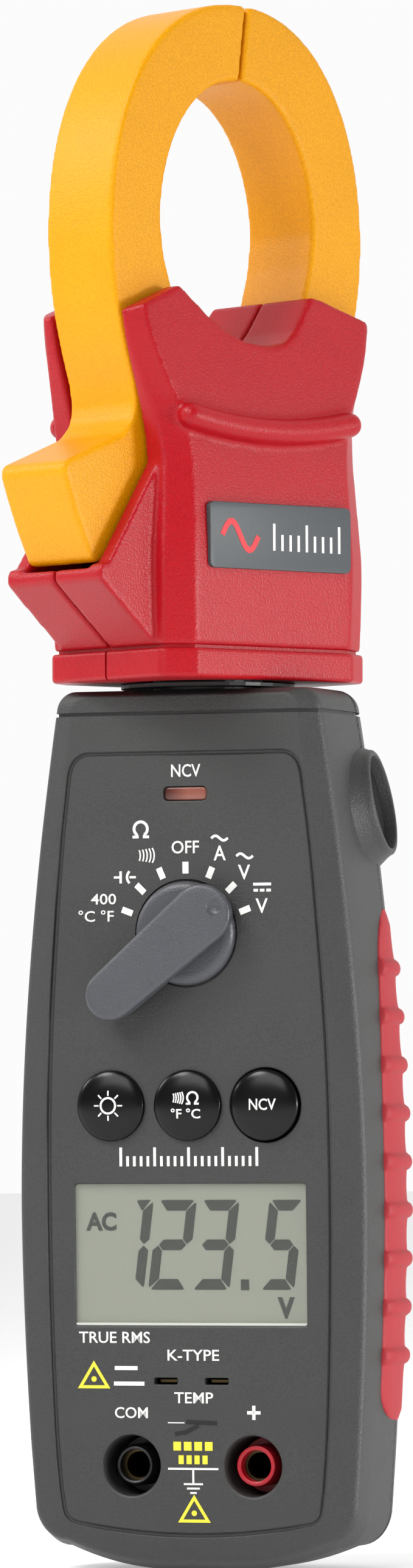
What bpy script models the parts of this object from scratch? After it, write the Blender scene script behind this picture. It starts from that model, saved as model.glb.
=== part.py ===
"""Swivel-head clamp meter: head with opening jaws on a handheld body, every piece a solid of its own.

Frame: +Z up along the body, the face with the display towards -Y, origin at the middle of the foot.
"""

import math

import bmesh
import bpy
from mathutils import Matrix, Vector

MM = 0.001
GAP = 0.3 * MM

# Rest pose
HEAD_SWIVEL_DEG = 60.0
SELECTOR_REST_DEG = 48.0

# Body shells
BODY_TOP_Z = 130.7 * MM
BODY_WIDEST_Z = 54.0 * MM
BODY_HALF_WIDTH = 28.1 * MM
TOP_TAPER = 7.15 * MM
FOOT_TAPER = 2.6 * MM
SEAM_Y = 4.5 * MM
FRONT_DEPTH_TOP = 12.0 * MM
FRONT_DEPTH_FOOT = 9.8 * MM
REAR_Y = 17.0 * MM
PANEL_HALF_WIDTH_TOP = 20.4 * MM
PANEL_HALF_WIDTH_MID = 21.6 * MM
PANEL_HALF_WIDTH_FOOT = 20.2 * MM
FOOT_CORNER_Z = 9.0 * MM
FOOT_CORNER = (5.0 * MM, 5.6 * MM)
FOOT_FLAT_HALF = 5.0 * MM
FOOT_BEVEL = 4.3 * MM
SHELL_WALL = 2.0 * MM
COLLAR_GROOVE_Z = (126.8 * MM, 127.4 * MM)
LID_SCREW_Z = 74.2 * MM

# Controls and display on the front
DISPLAY_HALF_WIDTH = 18.2 * MM
DISPLAY_Z = (36.3 * MM, 57.3 * MM)
BUTTON_RADIUS = 5.28 * MM
BUTTON_PITCH = 12.1 * MM
BUTTON_Z = 68.9 * MM
SELECTOR_Z = 94.4 * MM
SELECTOR_DISC_RADIUS = 7.7 * MM
LEVER_HALF_WIDTH = 4.05 * MM
LEVER_TIP = 7.5 * MM
LEVER_TAIL = 19.0 * MM
LEVER_HEIGHT = 5.6 * MM
INDICATOR_SIZE = (6.9 * MM, 2.2 * MM)
INDICATOR_Z = 115.1 * MM

# Hold button on the right side
HOLD_CENTRE = Vector((25.3, 6.0, 114.0)) * MM
HOLD_AXIS = Vector((0.975, 0.12, 0.185)).normalized()
HOLD_RING_RADIUS = 7.9 * MM
HOLD_BORE_RADIUS = 7.0 * MM

# Jacks
JACK_PITCH = 19.05 * MM
JACK_Z = 15.6 * MM
JACK_BORE_RADIUS = 4.45 * MM
SHROUD_RADIUS = 3.1 * MM
SHROUD_BORE_RADIUS = 2.25 * MM
THERMOCOUPLE_SLOT_X = 4.0 * MM
THERMOCOUPLE_SLOT_Z = 28.1 * MM
THERMOCOUPLE_SLOT_HALF_WIDTH = 1.85 * MM

# Grips
GRIP_Z = (22.0 * MM, 98.0 * MM)
GRIP_NARROWS_Z = 58.0 * MM
GRIP_PAD_PITCH = 7.2 * MM
GRIP_PAD_FIRST_Z = 31.6 * MM
GRIP_PAD_COUNT = 9

# Swivel
HEAD_AXIS = Vector((0.0, -1.0, 0.0)) * MM
HUB_RADIUS = 8.2 * MM
HUB_FLANGE_RADIUS = 12.8 * MM
LOWER_FLANGE_RADIUS = 9.9 * MM

# Head
JAW_HALF_DEPTH = 7.5 * MM
REAR_PLATE_FLARE = 1.1 * MM
SLOT_HALF_DEPTH = 8.1 * MM
JAW_WIDEST_Z = 197.5 * MM
JAW_OUTER = (24.7 * MM, 35.5 * MM)
JAW_OUTER_POWER = 2.2
HOLE_WIDEST_Z = 199.5 * MM
HOLE_RADII = (14.9 * MM, 22.1 * MM)
PIVOT = Vector((-12.5, 0.0, 166.0)) * MM
PIN_RADIUS = 2.0 * MM
CORE_LEG_Z = 172.3 * MM
JOINT_X = -3.35 * MM


def points(pairs):
    """Outline points given in millimetres, as (x, z) in metres."""
    return [(x * MM, z * MM) for x, z in pairs]


# ---------------------------------------------------------------- solids


def clear_scene():
    for old in list(bpy.data.objects):
        bpy.data.objects.remove(old, do_unlink=True)


def finish_mesh(bm):
    bmesh.ops.recalc_face_normals(bm, faces=bm.faces)
    return bm


def rings_solid(rings, closed_loop=False):
    """Solid through rings of equally many points, capped at the ends unless the rings close on themselves."""
    bm = bmesh.new()
    loops = [[bm.verts.new(p) for p in ring] for ring in rings]
    pairs = list(zip(loops, loops[1:]))
    if closed_loop:
        pairs.append((loops[-1], loops[0]))
    else:
        bm.faces.new(loops[0])
        bm.faces.new(loops[-1])
    count = len(loops[0])
    for low, high in pairs:
        for i in range(count):
            j = (i + 1) % count
            bm.faces.new((low[i], low[j], high[j], high[i]))
    return finish_mesh(bm)


def prism(outline, y_low, y_high):
    """Front-view outline of (x, z) points, extruded from y_low to y_high."""
    rings = [[Vector((x, y, z)) for x, z in outline] for y in (y_low, y_high)]
    bm = rings_solid(rings)
    caps = [face for face in bm.faces if len(face.verts) > 4]
    bmesh.ops.triangulate(bm, faces=caps)
    return bm


def box(low, high):
    x0, y0, z0 = low
    x1, y1, z1 = high
    return prism([(x0, z0), (x1, z0), (x1, z1), (x0, z1)], y0, y1)


def box_mm(low, high):
    return box([v * MM for v in low], [v * MM for v in high])


def turned(profile, base, axis, segments=24, bored=False):
    """Solid of revolution. The profile holds (radius, height along the axis); a bored one is closed."""
    turn = Vector(axis).to_track_quat("Z", "Y").to_matrix()
    rings = []
    for radius, height in profile:
        ring = []
        for i in range(segments):
            angle = 2 * math.pi * i / segments
            local = Vector((radius * math.cos(angle), radius * math.sin(angle), height))
            ring.append(Vector(base) + turn @ local)
        rings.append(ring)
    return rings_solid(rings, closed_loop=bored)


def rod(radius, start, end, segments=24):
    span = Vector(end) - Vector(start)
    return turned([(radius, 0.0), (radius, span.length)], start, span, segments)


def upright_rod(radius, low_mm, high_mm, centre=None):
    """Upright cylinder about the axis that the head turns on."""
    foot = (HEAD_AXIS if centre is None else centre) + Vector((0, 0, low_mm * MM))
    return rod(radius, foot, foot + Vector((0, 0, (high_mm - low_mm) * MM)), 32)


def tube(outer, inner, start, end, segments=24):
    span = Vector(end) - Vector(start)
    length = span.length
    profile = [(outer, 0.0), (outer, length), (inner, length), (inner, 0.0)]
    return turned(profile, start, span, segments, bored=True)


def swept_bar(path, half_width, half_depth):
    """Bar of rectangular section along a front-view path of (x, z) points."""
    rings = []
    for i, (x, z) in enumerate(path):
        x0, z0 = path[max(i - 1, 0)]
        x1, z1 = path[min(i + 1, len(path) - 1)]
        side = Vector((z0 - z1, 0.0, x1 - x0)).normalized() * half_width
        centre = Vector((x, 0.0, z))
        depth = Vector((0.0, half_depth, 0.0))
        near, far = centre - depth, centre + depth
        rings.append([far + side, far - side, near - side, near + side])
    return rings_solid(rings)


def swept_wire(path, radius, sides=8):
    """Round wire along points in space, with flat ends."""
    rings = []
    for i, centre in enumerate(path):
        along = (path[min(i + 1, len(path) - 1)] - path[max(i - 1, 0)]).normalized()
        across = along.orthogonal().normalized() if i == 0 else (rings[-1][0] - path[i - 1])
        across = (across - along * across.dot(along)).normalized()
        other = along.cross(across)
        ring = []
        for k in range(sides):
            angle = 2 * math.pi * k / sides
            ring.append(centre + (across * math.cos(angle) + other * math.sin(angle)) * radius)
        rings.append(ring)
    return rings_solid(rings)


def helix(base, axis, radius, pitch, turns, steps=12):
    turn = Vector(axis).to_track_quat("Z", "Y").to_matrix()
    path = []
    for i in range(round(turns * steps) + 1):
        angle = 2 * math.pi * i / steps
        height = pitch * i / steps
        local = Vector((radius * math.cos(angle), radius * math.sin(angle), height))
        path.append(Vector(base) + turn @ local)
    return path


def plain_material(name, colour, roughness, metallic=0.0):
    material = bpy.data.materials.get(name)
    if material is None:
        material = bpy.data.materials.new(name)
        material.use_nodes = True
        shader = material.node_tree.nodes["Principled BSDF"]
        shader.inputs["Base Color"].default_value = (*colour, 1.0)
        shader.inputs["Roughness"].default_value = roughness
        shader.inputs["Metallic"].default_value = metallic
    return material


MATERIALS = {
    "head_plastic": ((0.60, 0.045, 0.065), 0.38, 0.0),
    "jaw_plastic": ((0.82, 0.42, 0.02), 0.36, 0.0),
    "body_plastic": ((0.075, 0.08, 0.08), 0.55, 0.0),
    "grip_rubber": ((0.62, 0.06, 0.075), 0.6, 0.0),
    "knob_plastic": ((0.10, 0.105, 0.11), 0.42, 0.0),
    "button_rubber": ((0.008, 0.007, 0.008), 0.22, 0.0),
    "display_lens": ((0.36, 0.38, 0.34), 0.12, 0.0),
    "display_glass": ((0.33, 0.35, 0.29), 0.3, 0.0),
    "indicator_tint": ((0.35, 0.10, 0.06), 0.3, 0.0),
    "label_plate": ((0.05, 0.055, 0.06), 0.5, 0.0),
    "black_plastic": ((0.01, 0.01, 0.01), 0.45, 0.0),
    "red_plastic": ((0.50, 0.02, 0.03), 0.4, 0.0),
    "white_plastic": ((0.75, 0.75, 0.72), 0.5, 0.0),
    "steel": ((0.55, 0.55, 0.56), 0.32, 1.0),
    "brass": ((0.66, 0.48, 0.20), 0.3, 1.0),
    "core_laminations": ((0.22, 0.22, 0.24), 0.4, 0.9),
    "copper_winding": ((0.55, 0.25, 0.12), 0.4, 0.6),
    "circuit_board": ((0.02, 0.14, 0.05), 0.5, 0.0),
    "cell_jacket": ((0.12, 0.20, 0.42), 0.35, 0.2),
}


def add_object(name, bm, parent=None, origin=None):
    """Object from a finished bmesh, with its origin moved to the given point."""
    mesh = bpy.data.meshes.new(name)
    if origin is not None:
        bm.transform(Matrix.Translation(-Vector(origin)))
    bm.to_mesh(mesh)
    bm.free()
    obj = bpy.data.objects.new(name, mesh)
    bpy.context.scene.collection.objects.link(obj)
    if origin is not None:
        obj.location = origin
    obj.parent = parent
    return obj


def part(name, material, bm, parent=None, origin=None, smooth=True):
    obj = add_object(name, bm, parent, origin)
    obj.data.materials.append(plain_material(material, *MATERIALS[material]))
    if smooth:
        obj.data.shade_smooth()
        obj.data.set_sharp_from_angle(angle=math.radians(30))
    return obj


def helper(target, bm):
    """Hidden operand of a Boolean on the target, in the target's own frame."""
    number = len(target.modifiers) + 1
    origin = target.location.copy()
    obj = add_object(f"{target.name}.tool{number:02d}", bm, target.parent, origin)
    obj.hide_render = True
    obj.display_type = "WIRE"
    return obj


def combine(target, bm, operation):
    modifier = target.modifiers.new(operation.lower(), "BOOLEAN")
    modifier.operation = operation
    modifier.solver = "EXACT"
    modifier.object = helper(target, bm)


def cut(target, bm):
    combine(target, bm, "DIFFERENCE")


def join(target, bm):
    combine(target, bm, "UNION")


def frame_empty(name, location, parent=None, turn_z_deg=0.0):
    empty = bpy.data.objects.new(name, None)
    bpy.context.scene.collection.objects.link(empty)
    empty.location = location
    empty.rotation_euler = (0.0, 0.0, math.radians(turn_z_deg))
    empty.parent = parent
    return empty


# ---------------------------------------------------------------- body shape


def body_half_width(z):
    """Half width of the body where the two covers meet."""
    if z > BODY_WIDEST_Z:
        rise = (z - BODY_WIDEST_Z) / (BODY_TOP_Z - BODY_WIDEST_Z)
        return BODY_HALF_WIDTH - TOP_TAPER * rise**1.8
    fall = (BODY_WIDEST_Z - z) / BODY_WIDEST_Z
    return BODY_HALF_WIDTH - FOOT_TAPER * fall**1.7


def panel_half_width(z):
    """Half width of the flat front panel."""
    if z > BODY_WIDEST_Z:
        rise = (z - BODY_WIDEST_Z) / (BODY_TOP_Z - BODY_WIDEST_Z)
        return PANEL_HALF_WIDTH_MID + (PANEL_HALF_WIDTH_TOP - PANEL_HALF_WIDTH_MID) * rise
    fall = (BODY_WIDEST_Z - z) / BODY_WIDEST_Z
    return PANEL_HALF_WIDTH_MID + (PANEL_HALF_WIDTH_FOOT - PANEL_HALF_WIDTH_MID) * fall**2


def side_slack(z):
    """How much narrower the front panel is than the body on each side."""
    return max(body_half_width(z) - panel_half_width(z), 0.9 * MM)


def front_depth(z):
    return FRONT_DEPTH_FOOT + (FRONT_DEPTH_TOP - FRONT_DEPTH_FOOT) * z / BODY_TOP_Z


def body_outline():
    """Right half then left half of the covers' joint line, as (x, z), starting at the top right."""
    side_z = [BODY_TOP_Z / MM, 121.0, 111.0, 100.0, 88.0, 76.0, 64.0, 52.0, 40.0, 28.0, 17.0, 9.0]
    half = [(body_half_width(z * MM), z * MM) for z in side_z]
    corner_x = body_half_width(FOOT_CORNER_Z) - FOOT_CORNER[0]
    for step in (1, 2, 3, 4):
        angle = math.radians(90 * step / 4)
        x = corner_x + FOOT_CORNER[0] * math.cos(angle)
        half.append((x, FOOT_CORNER_Z - FOOT_CORNER[1] * math.sin(angle)))
    foot_rise = FOOT_CORNER_Z - FOOT_CORNER[1]
    for share in (0.66, 0.33, 0.0):
        x = FOOT_FLAT_HALF + (corner_x - FOOT_FLAT_HALF) * share
        half.append((x, foot_rise * share**2))
    return half + [(-x, z) for x, z in reversed(half)]


def body_ring(y_of_z, side_inset, foot_inset, top_inset=0.0):
    """The outline moved to a depth, narrowed at the sides and raised at the foot."""
    ring = []
    for x, z in body_outline():
        inset = side_inset(z)
        narrowed = math.copysign(max(abs(x) - inset, 0.0), x)
        if abs(x) <= FOOT_FLAT_HALF * 1.01:
            narrowed = x
        foot_share = max(0.0, 1.0 - z / (2.0 * FOOT_CORNER_Z))
        raised = z + foot_inset * foot_share**0.5
        if z > BODY_TOP_Z - 0.01 * MM:
            raised = BODY_TOP_Z - top_inset
        ring.append(Vector((narrowed, y_of_z(raised), raised)))
    return ring


def cover_rings(front, wall=0.0):
    """Rings of one cover from the joint to its face; a wall thickness gives the hollow inside it."""
    top = 2.6 * MM if wall else 0.0

    def inset(base, share):
        return lambda z: base + share * side_slack(z) + wall

    if front:
        start = SEAM_Y + 2 * MM if wall else SEAM_Y - GAP / 2
        depths = ((0.45, 0.0, 0.06, 0.0), (0.86, 0.0, 0.16, 1.3 * MM), (1.0, 0.0, 1.0, FOOT_BEVEL))
        rings = [body_ring(lambda z: start, inset(0.0, 0.0), wall, top)]
        for depth, base, share, foot in depths:
            y_of_z = (lambda d: lambda z: -(front_depth(z) - wall) * d)(depth)
            rings.append(body_ring(y_of_z, inset(base, share), foot + wall, top))
        return rings
    start = SEAM_Y - 2 * MM if wall else SEAM_Y + GAP / 2
    rings = [body_ring(lambda z: start, inset(0.0, 0.0), wall, top)]
    steps = ((8.0, 0.3, 0.12, 0.5), (11.5, 0.9, 0.28, 1.4), (15.0, 2.2, 0.38, 3.0), (17.0, 4.2, 0.49, 5.0))
    for y, base, share, foot in steps:
        depth = y * MM
        if wall:
            depth = SEAM_Y + (depth - SEAM_Y) * (REAR_Y - wall - SEAM_Y) / (REAR_Y - SEAM_Y)
        y_of_z = (lambda d: lambda z: d)(depth)
        rings.append(body_ring(y_of_z, inset(base * MM, share), foot * MM + wall, top))
    return rings


CASE_SCREWS = (
    ("case_screw_upper_left", -17.0, 98.0),
    ("case_screw_upper_right", 17.0, 98.0),
    ("case_screw_lower_left", -19.0, 13.0),
    ("case_screw_lower_right", 19.0, 13.0),
)


def groove_cutters():
    """Four bars that sink 0.5 mm into the front, rear and sides at the groove's height."""
    low, high = COLLAR_GROOVE_Z
    depth = 0.5 * MM
    side = body_half_width(low) - depth
    front = front_depth(low) - depth
    far = 40 * MM
    return (
        box((-far, -far, low), (far, -front, high)),
        box((side, -far, low), (far, far, high)),
        box((-far, -far, low), (-side, far, high)),
    )


def make_front_cover():
    cover = part("front_cover", "body_plastic", rings_solid(cover_rings(front=True)))
    cut(cover, rings_solid(cover_rings(front=True, wall=SHELL_WALL)))
    jack_x = JACK_PITCH / 2
    for side in (-1, 1):
        start = Vector((side * jack_x, -front_depth(JACK_Z) + 1.0 * MM, JACK_Z))
        join(cover, rod(6.0 * MM, start, start + Vector((0, 8.6 * MM, 0)), 20))
    for name, x, z in CASE_SCREWS:
        start = Vector((x * MM, -front_depth(z * MM) + 1.2 * MM, z * MM))
        join(cover, rod(2.9 * MM, start, Vector((x * MM, SEAM_Y - GAP, z * MM)), 12))
    for bar in groove_cutters():
        cut(cover, bar)
    z0, z1 = DISPLAY_Z
    cut(cover, box((-DISPLAY_HALF_WIDTH, -0.02, z0), (DISPLAY_HALF_WIDTH, -6 * MM, z1)))
    half_w, half_h = INDICATOR_SIZE[0] / 2, INDICATOR_SIZE[1] / 2
    cut(cover, box((-half_w, -0.02, INDICATOR_Z - half_h), (half_w, -6 * MM, INDICATOR_Z + half_h)))
    for index in (-1, 0, 1):
        x = index * BUTTON_PITCH
        cut(cover, rod(BUTTON_RADIUS + GAP, (x, -0.02, BUTTON_Z), (x, -6 * MM, BUTTON_Z), 24))
    cut(cover, rod(4.3 * MM, (0, -0.02, SELECTOR_Z), (0, -6 * MM, SELECTOR_Z), 24))
    for side in (-1, 1):
        x = side * jack_x
        cut(cover, rod(JACK_BORE_RADIUS, (x, -0.02, JACK_Z), (x, 0.0, JACK_Z), 24))
        slot_x = side * THERMOCOUPLE_SLOT_X
        cut(
            cover,
            box(
                (slot_x - THERMOCOUPLE_SLOT_HALF_WIDTH, -0.02, THERMOCOUPLE_SLOT_Z - 0.5 * MM),
                (slot_x + THERMOCOUPLE_SLOT_HALF_WIDTH, -6 * MM, THERMOCOUPLE_SLOT_Z + 0.5 * MM),
            ),
        )
    for name, x, z in CASE_SCREWS:
        cut(cover, rod(1.25 * MM, (x * MM, -6 * MM, z * MM), (x * MM, 6 * MM, z * MM), 10))
    neck = HUB_RADIUS + GAP
    cut(cover, upright_rod(neck, 124.0, 134.0))
    cut(cover, box((-neck, HEAD_AXIS.y, 127 * MM), (neck, 6 * MM, 134 * MM)))
    cut(cover, upright_rod(LOWER_FLANGE_RADIUS + GAP, 121.4, 124.6))
    add_hold_boss(cover)
    cut(cover, box((-0.05, SEAM_Y - GAP / 2, -0.01), (0.05, 0.05, 0.2)))
    return cover


def add_hold_boss(cover):
    """Round guard standing out of the right side, with the button's bore."""
    back = HOLD_CENTRE - HOLD_AXIS * 6.0 * MM
    profile = [(10.6 * MM, 0.0), (HOLD_RING_RADIUS, 5.2 * MM), (HOLD_RING_RADIUS - 0.3 * MM, 6.0 * MM)]
    join(cover, turned(profile, back, HOLD_AXIS, 24))
    cut(cover, rod(HOLD_BORE_RADIUS, HOLD_CENTRE - HOLD_AXIS * 12 * MM, HOLD_CENTRE + HOLD_AXIS * 3 * MM, 24))


def make_rear_cover():
    cover = part("rear_cover", "body_plastic", rings_solid(cover_rings(front=False)))
    cut(cover, rings_solid(cover_rings(front=False, wall=SHELL_WALL)))
    join(cover, box_mm((-14.6, 2.6, 19.6), (14.6, 15.6, 78.4)))
    for name, x, z in CASE_SCREWS:
        join(cover, rod(3.0 * MM, (x * MM, SEAM_Y + GAP, z * MM), (x * MM, 15.5 * MM, z * MM), 12))
    add_hold_boss(cover)
    cut(cover, box_mm((-12.0, 3.8, 22.6), (12.0, 30.0, 72.2)))
    cut(cover, box_mm((-13.2, 15.0, 21.0), (13.2, 30.0, 77.0)))
    cut(cover, rod(1.15 * MM, (0, 9 * MM, LID_SCREW_Z), (0, 30 * MM, LID_SCREW_Z), 10))
    for name, x, z in CASE_SCREWS:
        cut(cover, rod(1.75 * MM, (x * MM, 0, z * MM), (x * MM, 30 * MM, z * MM), 12))
        cut(cover, rod(2.95 * MM, (x * MM, 10.3 * MM, z * MM), (x * MM, 30 * MM, z * MM), 16))
    for bar in groove_cutters()[1:]:
        cut(cover, bar)
    cut(cover, upright_rod(HUB_RADIUS + GAP, 124.0, 134.0))
    cut(cover, box((-0.05, -0.05, -0.01), (0.05, SEAM_Y + GAP / 2, 0.2)))
    return cover


def grip_ring(z, side):
    """Section of a grip at a height: a strip that wraps the side of the body."""
    half = body_half_width(z)
    slack = side_slack(z)
    rise = max(0.0, (z - GRIP_NARROWS_Z) / (GRIP_Z[1] - GRIP_NARROWS_Z))
    front = -2.6 + 4.4 * rise**2
    inner = ((front, 0.0), (4.8, 0.0), (8.0, 0.3 * MM + 0.12 * slack), (11.0, 0.85 * MM + 0.26 * slack))
    front_in = 0.04 * slack
    ring = []
    for y, inset in inner:
        ring.append(Vector((side * (half - 0.9 * MM - inset - (front_in if y < 0 else 0)), y * MM, z)))
    for y, inset in reversed(inner):
        ring.append(Vector((side * (half + 0.5 * MM - inset - (front_in if y < 0 else 0)), y * MM, z)))
    return ring


def grip_heights():
    low, high = GRIP_Z
    steps = 12
    return [low + (high - low) * i / steps for i in range(steps + 1)]


def make_grip(name, side, cover_front, cover_rear):
    """Rubber grip with a row of pads, and the shallow pocket that it fills in both covers."""
    grip = part(name, "grip_rubber", rings_solid([grip_ring(z, side) for z in grip_heights()]))
    for index in range(GRIP_PAD_COUNT):
        z = GRIP_PAD_FIRST_Z + index * GRIP_PAD_PITCH
        x = side * (body_half_width(z) + 0.3 * MM)
        front = grip_ring(z, side)[0].y + 0.8 * MM
        join(grip, rod(1.1 * MM, (x, front, z), (x, 6.0 * MM, z), 10))
    low, high = GRIP_Z
    heights = [low - GAP] + grip_heights()[1:-1] + [high + GAP]
    rings = []
    for z in heights:
        ring = grip_ring(z, side)
        middle = sum(ring, Vector()) / len(ring)
        grown = []
        for index, p in enumerate(ring):
            outward = side if index >= 4 else -side
            y = p.y + math.copysign(GAP, p.y - middle.y)
            grown.append(Vector((p.x + outward * (GAP if index < 4 else 4 * MM), y, p.z)))
        rings.append(grown)
    for cover in (cover_front, cover_rear):
        cut(cover, rings_solid(rings))
    return grip


def make_body():
    front = make_front_cover()
    rear = make_rear_cover()
    make_grip("left_grip", -1, front, rear)
    make_grip("right_grip", 1, front, rear)
    for name, x, z in CASE_SCREWS:
        make_screw(name, Vector((x * MM, 11.0 * MM, z * MM)), Vector((0, -1, 0)), 2.6, 1.1, 9.5)


def make_screw(name, head_base, along, head_radius, shank_radius, length, parent=None):
    """Pan-head screw: the head stands behind head_base, the shank runs along the direction given."""
    r, s, n = head_radius * MM, shank_radius * MM, length * MM
    profile = [(0.55 * r, -1.5 * MM), (r, -0.9 * MM), (r, 0.0), (s, 0.01 * MM), (s, n - 0.8 * MM)]
    profile.append((0.4 * s, n))
    screw = part(name, "steel", turned(profile, head_base, along, 14), parent)
    across = Vector((1, 0, 0)) if abs(along.x) < 0.5 else Vector((0, 0, 1))
    for slot in (across, along.cross(across)):
        tip = head_base - along * 2.0 * MM
        path = [tip - slot * 0.6 * r, tip + slot * 0.6 * r]
        side = along.cross(slot) * 0.22 * r
        deep = along * 1.2 * MM
        rings = [[p - side, p + side, p + side + deep, p - side + deep] for p in path]
        cut(screw, rings_solid(rings))
    return screw


# ---------------------------------------------------------------- body fittings


def make_battery_parts():
    lid = part("battery_cover", "body_plastic", box_mm((-12.9, 15.3, 21.3), (12.9, 17.0, 76.7)))
    cut(lid, rod(1.2 * MM, (0, 10 * MM, LID_SCREW_Z), (0, 30 * MM, LID_SCREW_Z), 12))
    cut(lid, rod(2.4 * MM, (0, 16.1 * MM, LID_SCREW_Z), (0, 30 * MM, LID_SCREW_Z), 16))
    profile = [(2.0 * MM, 0.0), (2.0 * MM, 0.45 * MM), (0.85 * MM, 0.46 * MM), (0.85 * MM, 6.0 * MM)]
    screw = part(
        "battery_cover_screw", "steel", turned(profile, (0, 16.9 * MM, LID_SCREW_Z), (0, -1, 0), 14)
    )
    cut(screw, box((-1.4 * MM, 0.0167, LID_SCREW_Z - 0.25 * MM), (1.4 * MM, 0.018, LID_SCREW_Z + 0.25 * MM)))
    for name, x in (("battery_left", -5.75), ("battery_right", 5.75)):
        up = 1 if x < 0 else -1
        base = Vector((x * MM, 9.4 * MM, (26.5 if up > 0 else 68.1) * MM))
        can = [(5.1, 0.0), (5.25, 0.5), (5.25, 43.0), (4.9, 43.5), (1.9, 43.6), (1.8, 44.5)]
        part(
            name,
            "cell_jacket",
            turned([(r * MM, h * MM) for r, h in can], base, (0, 0, up), 18),
        )
    part("battery_bridge_contact", "steel", box_mm((-11.2, 5.4, 71.35), (11.2, 13.4, 71.75)))
    part("battery_contact_left", "steel", box_mm((-10.6, 5.4, 22.9), (-0.9, 13.4, 23.3)))
    part("battery_contact_right", "steel", box_mm((0.9, 5.4, 22.9), (10.6, 13.4, 23.3)))
    spring_ends = (("battery_spring_left", -5.75, 23.85), ("battery_spring_right", 5.75, 68.6))
    for name, x, z in spring_ends:
        wire = helix((x * MM, 9.4 * MM, z * MM), (0, 0, 1), 3.0 * MM, 0.85 * MM, 2.5, 12)
        part(name, "steel", swept_wire(wire, 0.22 * MM, 6))


def make_display():
    z0, z1 = DISPLAY_Z
    face = -front_depth((z0 + z1) / 2)
    half = DISPLAY_HALF_WIDTH
    edge = GAP
    lens = part(
        "display_window",
        "display_lens",
        box((-half + edge, face + 0.6 * MM, z0 + edge), (half - edge, face + 3.0 * MM, z1 - edge)),
    )
    lip = 1.6 * MM
    join(
        lens,
        box((-half - lip, face + 2.45 * MM, z0 - lip), (half + lip, face + 3.4 * MM, z1 + lip)),
    )
    stack = (
        ("lcd_panel", "display_glass", 3.8, 5.4, 0.6),
        ("lcd_backlight", "white_plastic", 5.7, 7.6, 0.9),
    )
    for name, material, near, far, grow in stack:
        grow = grow * MM
        low = (-half - grow, face + near * MM, z0 - grow)
        part(name, material, box(low, (half + grow, face + far * MM, z1 + grow)))
    part(
        "lcd_connector_strip",
        "grip_rubber",
        box((-half + 1 * MM, face + 4.0 * MM, z0 - 3.4 * MM), (half - 1 * MM, -1.4 * MM, z0 - 1.4 * MM)),
    )


def make_board():
    outline = points([(-18.5, 24.0), (18.5, 24.0), (21.0, 64.0), (20.0, 88.0), (13.4, 94.0)])
    outline += points([(13.4, 103.0), (12.6, 119.0)])
    outline += [(-x, z) for x, z in reversed(outline[2:])]
    board = part("main_circuit_board", "circuit_board", prism(outline, -1.0 * MM, 0.6 * MM))
    cut(board, rod(2.2 * MM, (0, -5 * MM, SELECTOR_Z), (0, 5 * MM, SELECTOR_Z), 16))
    part("buzzer", "black_plastic", rod(6.0 * MM, (0, 0.9 * MM, 108 * MM), (0, 4.6 * MM, 108 * MM), 20))


def make_indicator():
    face = -front_depth(INDICATOR_Z)
    half_w, half_h = INDICATOR_SIZE[0] / 2 - GAP / 2, INDICATOR_SIZE[1] / 2 - GAP / 2
    pipe = part(
        "indicator_lens",
        "indicator_tint",
        box((-half_w, face + 0.5 * MM, INDICATOR_Z - half_h), (half_w, -1.4 * MM, INDICATOR_Z + half_h)),
    )
    flange = face + 2.4 * MM
    join(pipe, box((-4.6 * MM, flange, 113 * MM), (4.6 * MM, flange + 1 * MM, 117.4 * MM)))


def lever_outline():
    """Long lever seen from the front when it points straight up: round at both ends."""
    outline = []
    for centre_z, start in ((LEVER_TIP - LEVER_HALF_WIDTH, 0), (-LEVER_TAIL + LEVER_HALF_WIDTH, 180)):
        for step in range(9):
            angle = math.radians(start + 180 * step / 8)
            across, along = LEVER_HALF_WIDTH * math.cos(angle), LEVER_HALF_WIDTH * math.sin(angle)
            outline.append((across, centre_z + along))
    return outline


def make_selector():
    """Selector knob with its shaft, the wiper carrier behind it and the detent ring in the cover."""
    axis = Vector((0, 0, SELECTOR_Z))
    face = -front_depth(SELECTOR_Z)
    pivot = Vector((0, face, SELECTOR_Z))
    turn = Matrix.Rotation(math.radians(SELECTOR_REST_DEG), 4, "Y")
    rim = SELECTOR_DISC_RADIUS
    disc = [(6.9 * MM, 0.0), (rim, 0.2 * MM), (rim, 1.6 * MM), (7.0 * MM, 2.2 * MM)]
    knob_mesh = turned(disc, pivot + Vector((0, -GAP, 0)), (0, -1, 0), 32)
    knob = part("selector_knob", "knob_plastic", knob_mesh, origin=pivot)
    base = [Vector((x, face - 1.0 * MM, SELECTOR_Z + z)) for x, z in lever_outline()]
    middle = [Vector((x, face - LEVER_HEIGHT + 0.9 * MM, SELECTOR_Z + z)) for x, z in lever_outline()]
    top = []
    for x, z in lever_outline():
        top.append(Vector((x * 0.82, face - LEVER_HEIGHT, SELECTOR_Z + z * 0.955 - 0.25 * MM)))
    lever = rings_solid([base, middle, top])
    lever.transform(Matrix.Translation(axis) @ turn @ Matrix.Translation(-axis))
    join(knob, lever)
    join(knob, rod(3.9 * MM, pivot + Vector((0, -1 * MM, 0)), Vector((0, -4.9 * MM, SELECTOR_Z)), 20))
    dimple = Vector((0, face - LEVER_HEIGHT, SELECTOR_Z)) + turn @ Vector((0, 0, 4.6 * MM))
    cut(knob, rod(1.2 * MM, dimple + Vector((0, -2 * MM, 0)), dimple + Vector((0, 0.5 * MM, 0)), 16))
    rotor = [(8.4 * MM, 0.0), (8.4 * MM, 2.0 * MM)]
    rotor_mesh = turned(rotor, (0, -1.6 * MM, SELECTOR_Z), (0, -1, 0), 24)
    part("selector_rotor", "white_plastic", rotor_mesh, origin=pivot)
    part(
        "selector_detent_ring",
        "steel",
        tube(7.4 * MM, 4.6 * MM, (0, -9.0 * MM, SELECTOR_Z), (0, -8.4 * MM, SELECTOR_Z), 24),
    )


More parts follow.
